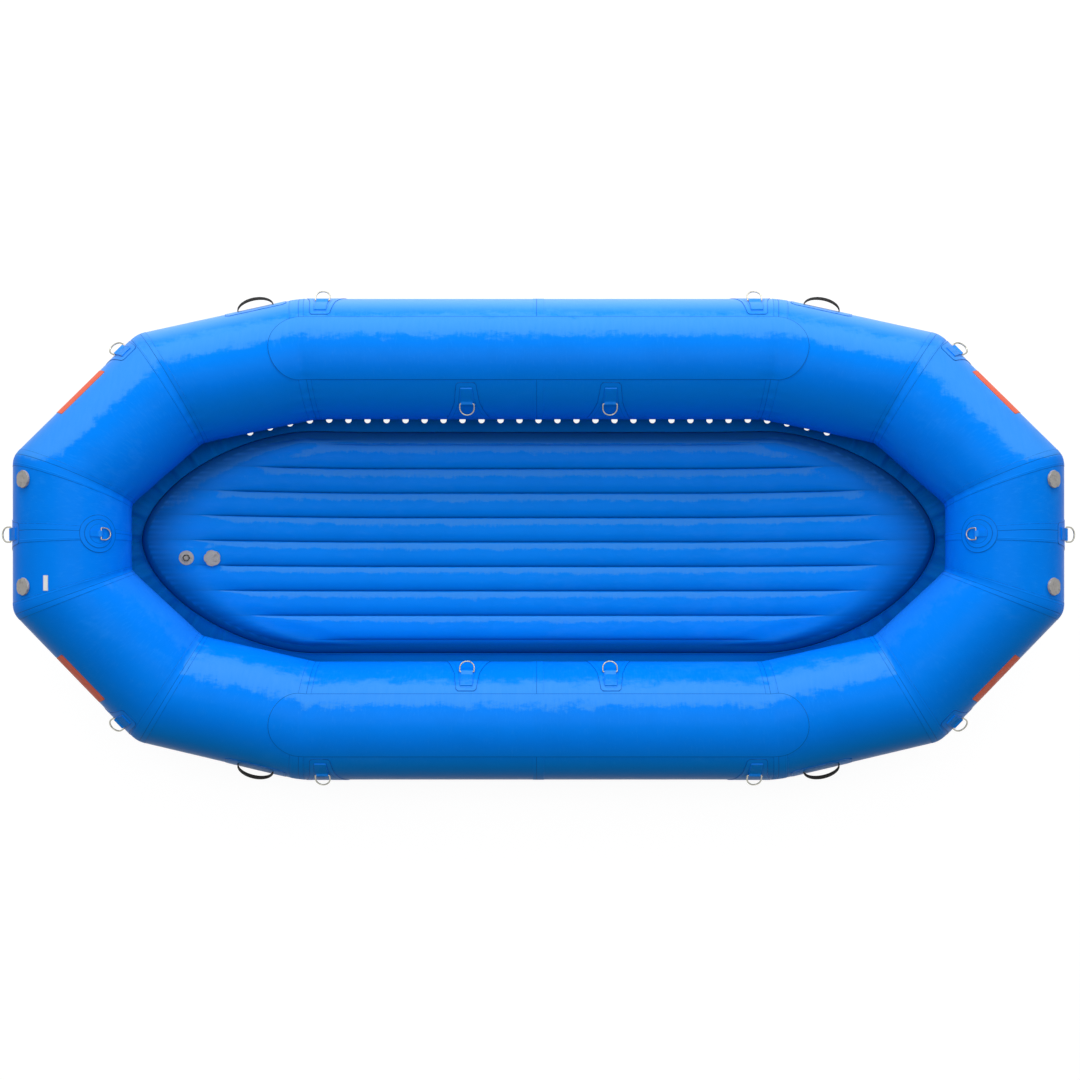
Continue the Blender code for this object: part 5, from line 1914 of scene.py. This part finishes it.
@dataclass
class ValveSet:
    """The push valves of chambers and floor with their caps, and the relief valve."""

    skin: TubeSkin
    floor: FloorMattress
    glue: float = 0.0004
    flange_radius: float = 0.031
    flange: float = 0.0016
    collar_radius: float = 0.0235
    collar: float = 0.0052
    bore: float = 0.0125
    barrel: float = 0.019
    barrel_depth: float = 0.030
    sunk: float = 0.0006
    fit: float = 0.0004
    cap_radius: float = 0.034
    cap_top: float = 0.0022
    scallops: int = 5
    scallop_depth: float = 0.0022
    scallop_share: float = 0.14
    relief_radius: float = 0.030
    relief_flange: float = 0.0025
    relief_barrel: float = 0.012
    relief_bore: float = 0.0046
    relief_depth: float = 0.018
    hex_radius: float = 0.0155
    hex_height: float = 0.0065
    cup_radius: float = 0.0105
    plastic: MouldedPlastic = MouldedPlastic("valve plastic")
    black: MouldedPlastic = MouldedPlastic(
        "hexagon plastic", (0.025, 0.025, 0.028), (0.01, 0.01, 0.01), (0.06, 0.06, 0.062),
    )

    def floor_seat(self, index: int) -> tuple:
        """Seat of a floor valve.

        Args:
            index: Its number in the floor's own list.

        Returns:
            Origin, two directions in its plane and its axis.
        """
        place, normal = self.floor.seats[index]
        axis = np.array(normal) / np.linalg.norm(normal)
        first = np.array([1.0, 0.0, -axis[0] / axis[2]])
        first /= np.linalg.norm(first)
        return np.array(place), first, np.cross(axis, first), axis

    def scallop(self, angle: float, radius: float) -> float:
        """Radius of the cap with its grip hollows.

        Args:
            angle: Angle round the cap.
            radius: The radius without hollows.

        Returns:
            The radius.
        """
        start = self.cap_radius * (1 - self.scallop_share)
        share = min(max((radius - start) / (self.cap_radius * self.scallop_share), 0), 1)
        hollow = (0.5 + 0.5 * math.cos(self.scallops * angle)) ** 5
        return radius - share * (self.scallop_depth * (hollow * 1.3 + 0.1))

    def six_sided(self, angle: float, radius: float) -> float:
        """Outer wall as a hexagon, inner wall round.

        Args:
            angle: Angle round the collar.
            radius: The radius at the hexagon's corners.

        Returns:
            The radius.
        """
        if radius < (self.cup_radius + self.hex_radius) / 2:
            return radius
        sector = math.pi / 3
        return radius * math.cos(sector / 2) / math.cos((angle % sector) - sector / 2)

    def body(self, name: str, seat: tuple, signs: tuple) -> Any:
        """The clamped valve body.

        Args:
            name: The place's name.
            seat: Its seat.
            signs: The quarter's signs.

        Returns:
            The object.
        """
        top = self.glue + self.flange
        collar = top + self.collar
        profile = [
            (self.bore, collar, 0.0006),
            (self.collar_radius, collar, 0.0008),
            (self.collar_radius, top, 0),
            (self.flange_radius, top, 0.0007),
            (self.flange_radius, -self.sunk, 0),
            (self.barrel, -self.sunk, 0),
            (self.barrel, -self.barrel_depth, 0.001),
            (self.bore, -self.barrel_depth, 0),
        ]
        return lathe("valve_housing_" + name, seat, rounded(profile), signs)

    def cap(self, name: str, seat: tuple, signs: tuple) -> Any:
        """The bayonet cap with its five grip hollows and a shallow raised rim.

        Args:
            name: The place's name.
            seat: Its seat.
            signs: The quarter's signs.

        Returns:
            The object.
        """
        radius, inner = self.cap_radius, self.collar_radius + self.fit
        foot = self.glue + self.flange + self.fit
        roof = foot + self.collar
        top = roof + self.cap_top
        profile = [
            (0.0, top - 0.0003, 0),
            (radius * 0.30, top - 0.0003, 0.0005),
            (radius * 0.36, top + 0.0001, 0.0005),
            (radius * 0.80, top, 0.0004),
            (radius * 0.84, top - 0.0004, 0),
            (radius * 0.88, top, 0.0004),
            (radius, top, 0.0016),
            (radius, foot, 0.0005),
            (inner, foot, 0.0003),
            (inner, roof, 0.0003),
            (0.0, roof, 0),
        ]
        return lathe("valve_cover_" + name, seat, rounded(profile), signs, 160, self.scallop)

    def relief(self, seat: tuple) -> tuple:
        """The relief valve.

        Args:
            seat: Its seat.

        Returns:
            Its flanged body, its hexagon collar and its sprung poppet.
        """
        top = self.glue + self.relief_flange
        high, low, signs = top + self.hex_height, top - 0.001, (1, 1)
        flange = [
            (self.relief_bore, top, 0.0003),
            (self.relief_radius, top, 0.0014),
            (self.relief_radius, -self.sunk, 0),
            (self.relief_barrel, -self.sunk, 0),
            (self.relief_barrel, -self.relief_depth, 0.0008),
            (self.relief_bore, -self.relief_depth, 0),
        ]
        hexagon = [
            (self.cup_radius, low, 0),
            (self.cup_radius, high, 0.0008),
            (self.hex_radius, high, 0.0012),
            (self.hex_radius, low, 0),
        ]
        poppet = [
            (0.0, top + 0.0029, 0),
            (0.0082, top + 0.0029, 0.0008),
            (0.0082, top + 0.0004, 0.0003),
            (0.0042, top + 0.0004, 0),
            (0.0042, -0.0232, 0),
            (0.0085, -0.0232, 0.0003),
            (0.0085, -0.0257, 0.0003),
            (0.0, -0.0257, 0),
        ]
        body = lathe("relief_housing", seat, rounded(flange), signs)
        collar = lathe("relief_hexagon", seat, rounded(hexagon), signs, 72, self.six_sided)
        return body, collar, lathe("relief_poppet", seat, rounded(poppet), signs)

    def build(self) -> None:
        """Makes every valve."""
        plastic, black = self.plastic.build(), self.black.build()
        chamber_seat = TubePlace(self.skin, 3, 0.014, 1.0432468).axes()
        seats = [(quarter.tag, chamber_seat, quarter.value) for quarter in Quarter]
        seats.append(("floor", self.floor_seat(0), (1, 1)))
        for tag, seat, signs in seats:
            place_piece(self.body(tag, seat, signs), plastic, nodes=["valve_body_" + tag])
            cap = "valve_cap_" + tag
            place_piece(self.cap(tag, seat, signs), plastic, cap, [cap])
        body, collar, poppet = self.relief(self.floor_seat(1))
        place_piece(body, plastic, nodes=["relief_valve_body"])
        place_piece(collar, black)
        place_piece(poppet, plastic, "relief_valve_poppet", ["relief_valve_poppet"])


@dataclass
class CarryHandles:
    """Webbing loops on the shoulders, held by long glued patches."""

    skin: TubeSkin
    along: float = 0.15
    turn: float = 0.4113516
    patch_length: float = 0.25
    patch_width: float = 0.085
    patch_lift: float = 0.0019
    span: float = 0.144
    foot: float = 0.001
    bulge: float = 0.036
    lean: float = math.radians(14)
    width: float = 0.030
    strap: float = 0.0035
    webbing: WebbingWeave = WebbingWeave("handle webbing")
    fabric: PatchFabric = PatchFabric("handle patch fabric", inner=0.010)

    def loop(self, place: TubePlace, quarter: Quarter) -> Any:
        """The webbing loop, rounded at its edges.

        Args:
            place: Its place.
            quarter: The quarter that it is on.

        Returns:
            The object.
        """
        origin, down, across, outward = place.axes()
        half, thick = self.width / 2, self.strap / 2
        edge = thick * 0.9
        side = [(half - edge, thick), (half - edge * 0.3, thick * 0.75)]
        top = [*((-u, v) for u, v in reversed(side)), (0, thick * 1.02), *side]
        section = [(-half, 0.0), *top, (half, 0.0), *((u, -v) for u, v in reversed(top))]
        angles = np.linspace(0, math.pi, 49)
        reach = self.span / 2
        centres = np.stack([-reach * np.cos(angles), self.foot + self.bulge * np.sin(angles)], -1)
        ways = np.stack([reach * np.sin(angles), self.bulge * np.cos(angles)], -1)
        ways /= np.linalg.norm(ways, axis=1, keepdims=True)
        rows, chart = [], []
        for angle, centre, way, run in zip(angles, centres, ways, distances(centres)):
            lean = self.lean * math.sin(angle)
            for u, v in section:
                high = v * math.cos(lean) + u * math.sin(lean)
                wide = u * math.cos(lean) - v * math.sin(lean)
                long, up = centre[0] - way[1] * high, centre[1] + way[0] * high
                rows.append(origin + down * wide + across * long + outward * up)
                chart.append((run, u, v))
        count = len(section)
        faces = capped(grid_faces(len(angles), count, wrap_columns=True), len(angles), count)
        return mesh_object("handle_loop_" + quarter.tag, rows, faces, chart, 50, quarter.value, outward=True)

    def build(self) -> None:
        """Makes the handles."""
        webbing, fabric = self.webbing.build(), self.fabric.build()
        place = TubePlace(self.skin, 1, self.along, self.turn)
        half, width = self.patch_length / 2, self.patch_width
        outline = [(0, half * 0.86), (width * 0.16, half), (width * 0.84, half), (width, half * 0.86)]
        for quarter in Quarter:
            name = "handle_patch_" + quarter.tag
            patch = flared_sheet(name, place, outline, self.patch_lift, quarter.value, -width / 2)
            glued_sheet(place_piece(patch, fabric), outline)
            loop = self.loop(place, quarter)
            place_piece(loop, webbing, nodes=["carry_handle_" + quarter.tag])


@dataclass
class ChafePads:
    """The long pads along the tops of the side tubes."""

    skin: TubeSkin
    half_width: float = 0.132
    lift: float = 0.0020
    sunk: float = -0.0006
    fabric: PadFabric = PadFabric("pad fabric")

    def pad(self, name: str, signs: tuple) -> Any:
        """One pad with half round ends.

        Args:
            name: The side's name.
            signs: Its signs.

        Returns:
            The object.
        """
        skin, half = self.skin, self.half_width
        across = half * np.sin(np.linspace(-1, 1, 41) * math.pi / 2)
        across = np.concatenate([[-half - EDGE], across, [half + EDGE]])[:, None]
        reach = skin.starts[1] + np.sqrt(half**2 - np.minimum(np.abs(across), half) ** 2)
        station = np.concatenate([[-1.0], np.linspace(-1, 1, 241), [1.0]]) * reach
        station[:, 0] -= EDGE
        station[:, -1] += EDGE
        lift = np.full(station.shape, self.lift)
        set_rim(lift, self.sunk)
        border = half - np.hypot(np.clip(np.abs(station) - skin.starts[1], 0, None), across)
        chart = np.stack(np.broadcast_arrays(station, across, np.clip(border, 0, None)), -1)
        faces = turned_over(grid_faces(*station.shape), signs[0] * signs[1] > 0)
        points = skin.at(station, math.pi / 2 + across / skin.side_radius, lift)
        made = mesh_object("wear_pad_" + name, points, faces, chart, 35, signs)
        return aim_outward(made, mirrored(skin.corners, signs))

    def build(self) -> None:
        """Makes both pads."""
        fabric = self.fabric.build()
        for name, signs in (("port", (1, 1)), ("starboard", (1, -1))):
            made = place_piece(self.pad(name, signs), fabric, nodes=["chafe_pad_" + name])


@dataclass
class BarePlates:
    """Plain plates glued on the outer diagonals, and one small white one at the stern."""

    skin: TubeSkin
    along: float = 0.270
    turn: float = 0.60
    half_length: float = 0.118
    half_width: float = 0.042
    lift: float = 0.0012
    small_offset: float = 0.191
    small_turn: float = 1.50
    small_half_length: float = 0.029
    small_half_width: float = 0.009
    small_lift: float = 0.0008
    orange: PaintedPlate = PaintedPlate("bare plate")
    white: PaintedPlate = PaintedPlate(
        "bare white plate", (0.85, 0.85, 0.84), (0.72, 0.74, 0.76), (0.45, 0.46, 0.48),
    )

    def outline(self, half: float, wide: float, soft: float) -> list:
        """Outline of a plate with its corners cut off."""
        return [(-wide, half - soft), (-wide + soft, half), (wide - soft, half), (wide, half - soft)]

    def build(self) -> None:
        """Makes the plates."""
        orange, white = self.orange.build(), self.white.build()
        place = TubePlace(self.skin, 2, self.along, self.turn)
        outline = self.outline(self.half_length, self.half_width, 0.004)
        for quarter in Quarter:
            made = flared_sheet("bare_plate_" + quarter.tag, place, outline, self.lift, quarter.value)
            place_piece(made, orange)
        place = TubePlace(self.skin, 3, self.skin.end_half_length - self.small_offset, self.small_turn)
        outline = self.outline(self.small_half_length, self.small_half_width, 0.001)
        made = flared_sheet("bare_plate_stern_small", place, outline, self.small_lift, (-1, -1))
        place_piece(made, white)


@dataclass(frozen=True)
class Lamp:
    """One area lamp."""

    name: str
    place: tuple
    target: tuple
    size: tuple
    power: float

    def build(self) -> None:
        """Makes the lamp."""
        data = bpy.data.lights.new(self.name, "AREA")
        data.shape = "RECTANGLE"
        data.size, data.size_y = self.size
        data.energy = self.power
        made = bpy.data.objects.new(self.name, data)
        made.location = self.place
        aim = Vector(self.target) - Vector(self.place)
        made.rotation_euler = aim.to_track_quat("-Z", "Y").to_euler()
        bpy.context.scene.collection.objects.link(made)


@dataclass
class Studio:
    """Floor, lamps, world and camera."""

    camera_place: tuple = (0.0, -0.30, 4.96)
    sensor: float = 36.0
    focal: float = 1130 / 1080 * 36
    shift: tuple = (1.5 / 1080, 71.9 / 1080)
    lamps: tuple = (
        Lamp("key lamp", (0.0, 4.3, 2.1), (0.0, 0.1, 0.3), (6.4, 2.0), 150.0),
        Lamp("top lamp", (0.0, 0.4, 5.6), (0.0, 0.0, 0.0), (5.0, 2.4), 78.0),
    )
    sky: float = 0.77
    least_sky: float = 0.15
    floor_half: float = 30.0
    floor_height: float = -0.001
    floor_glow: float = 0.93

    def camera(self) -> None:
        """Makes the camera, straight over the raft."""
        data = bpy.data.cameras.new("camera")
        data.sensor_width = self.sensor
        data.lens = self.focal
        data.shift_x, data.shift_y = self.shift
        made = bpy.data.objects.new("camera", data)
        made.location = self.camera_place
        bpy.context.scene.collection.objects.link(made)
        bpy.context.scene.camera = made

    def world(self) -> None:
        """Makes the world: white to the camera, a soft sky brighter towards port."""
        made = bpy.data.worlds.new("studio")
        bpy.context.scene.world = made
        made.use_nodes = True
        tree = made.node_tree
        back = tree.nodes["Background"]
        where = tree.nodes.new("ShaderNodeTexCoord")
        parts = tree.nodes.new("ShaderNodeSeparateXYZ")
        tree.links.new(where.outputs["Generated"], parts.inputs["Vector"])
        side = Value(tree, parts.outputs[1]).smooth(-0.5, 0.7)
        seen = self.seen(tree)
        strength = seen + (1 - seen) * (side * self.sky + self.least_sky)
        back.inputs["Color"].default_value = (1, 1, 1, 1)
        tree.links.new(strength.socket, back.inputs["Strength"])

    def seen(self, tree: bpy.types.NodeTree) -> Value:
        """1 for what the camera sees, also in a mirror or through glass.

        Args:
            tree: The node tree that it is added to.

        Returns:
            The value.
        """
        path = tree.nodes.new("ShaderNodeLightPath")
        rays = [Value(tree, path.outputs[f"Is {kind} Ray"]) for kind in ("Camera", "Glossy", "Transmission")]
        return (rays[0] + rays[1] + rays[2]).math("MINIMUM", 1.0)

    def floor(self) -> None:
        """Makes the white floor, which keeps the raft's shadow."""
        corners = ((-1, -1), (1, -1), (1, 1), (-1, 1))
        points = [(x * self.floor_half, y * self.floor_half, self.floor_height) for x, y in corners]
        made = mesh_object("studio_floor", points, [(0, 1, 2, 3)])
        shader = Shader("studio floor")
        light = self.seen(shader.tree) * self.floor_glow
        glow = shader.node("ShaderNodeEmission", Color=(1.0, 1.0, 1.0), Strength=light)
        blend = shader.node("ShaderNodeAddShader")
        shader.finish(Base_Color=(0.13, 0.13, 0.13), Roughness=0.9, Specular_IOR_Level=0.0)
        shader.feed(blend.inputs[0], shader.surface.outputs[0])
        shader.feed(blend.inputs[1], glow.outputs[0])
        shader.feed(shader.tree.nodes["Material Output"].inputs[0], blend.outputs[0])
        made.data.materials.append(shader.material)

    def build(self) -> None:
        """Makes the whole studio."""
        self.camera()
        self.world()
        self.floor()
        for lamp in self.lamps:
            lamp.build()
        bpy.context.scene.view_settings.view_transform = "Standard"


def main() -> None:
    """Builds the raft's sub-assemblies in order."""
    logging.basicConfig(level=logging.INFO, format="%(message)s")
    Studio().build()
    skin = TubeSkin()
    floor = FloorMattress()
    Chambers(skin).build()
    floor.build()
    DrainSkirt(skin, floor).build()
    RingSet(skin).build()
    ValveSet(skin, floor).build()
    CarryHandles(skin).build()
    ChafePads(skin).build()
    BarePlates(skin).build()


if __name__ == "__main__":
    main()
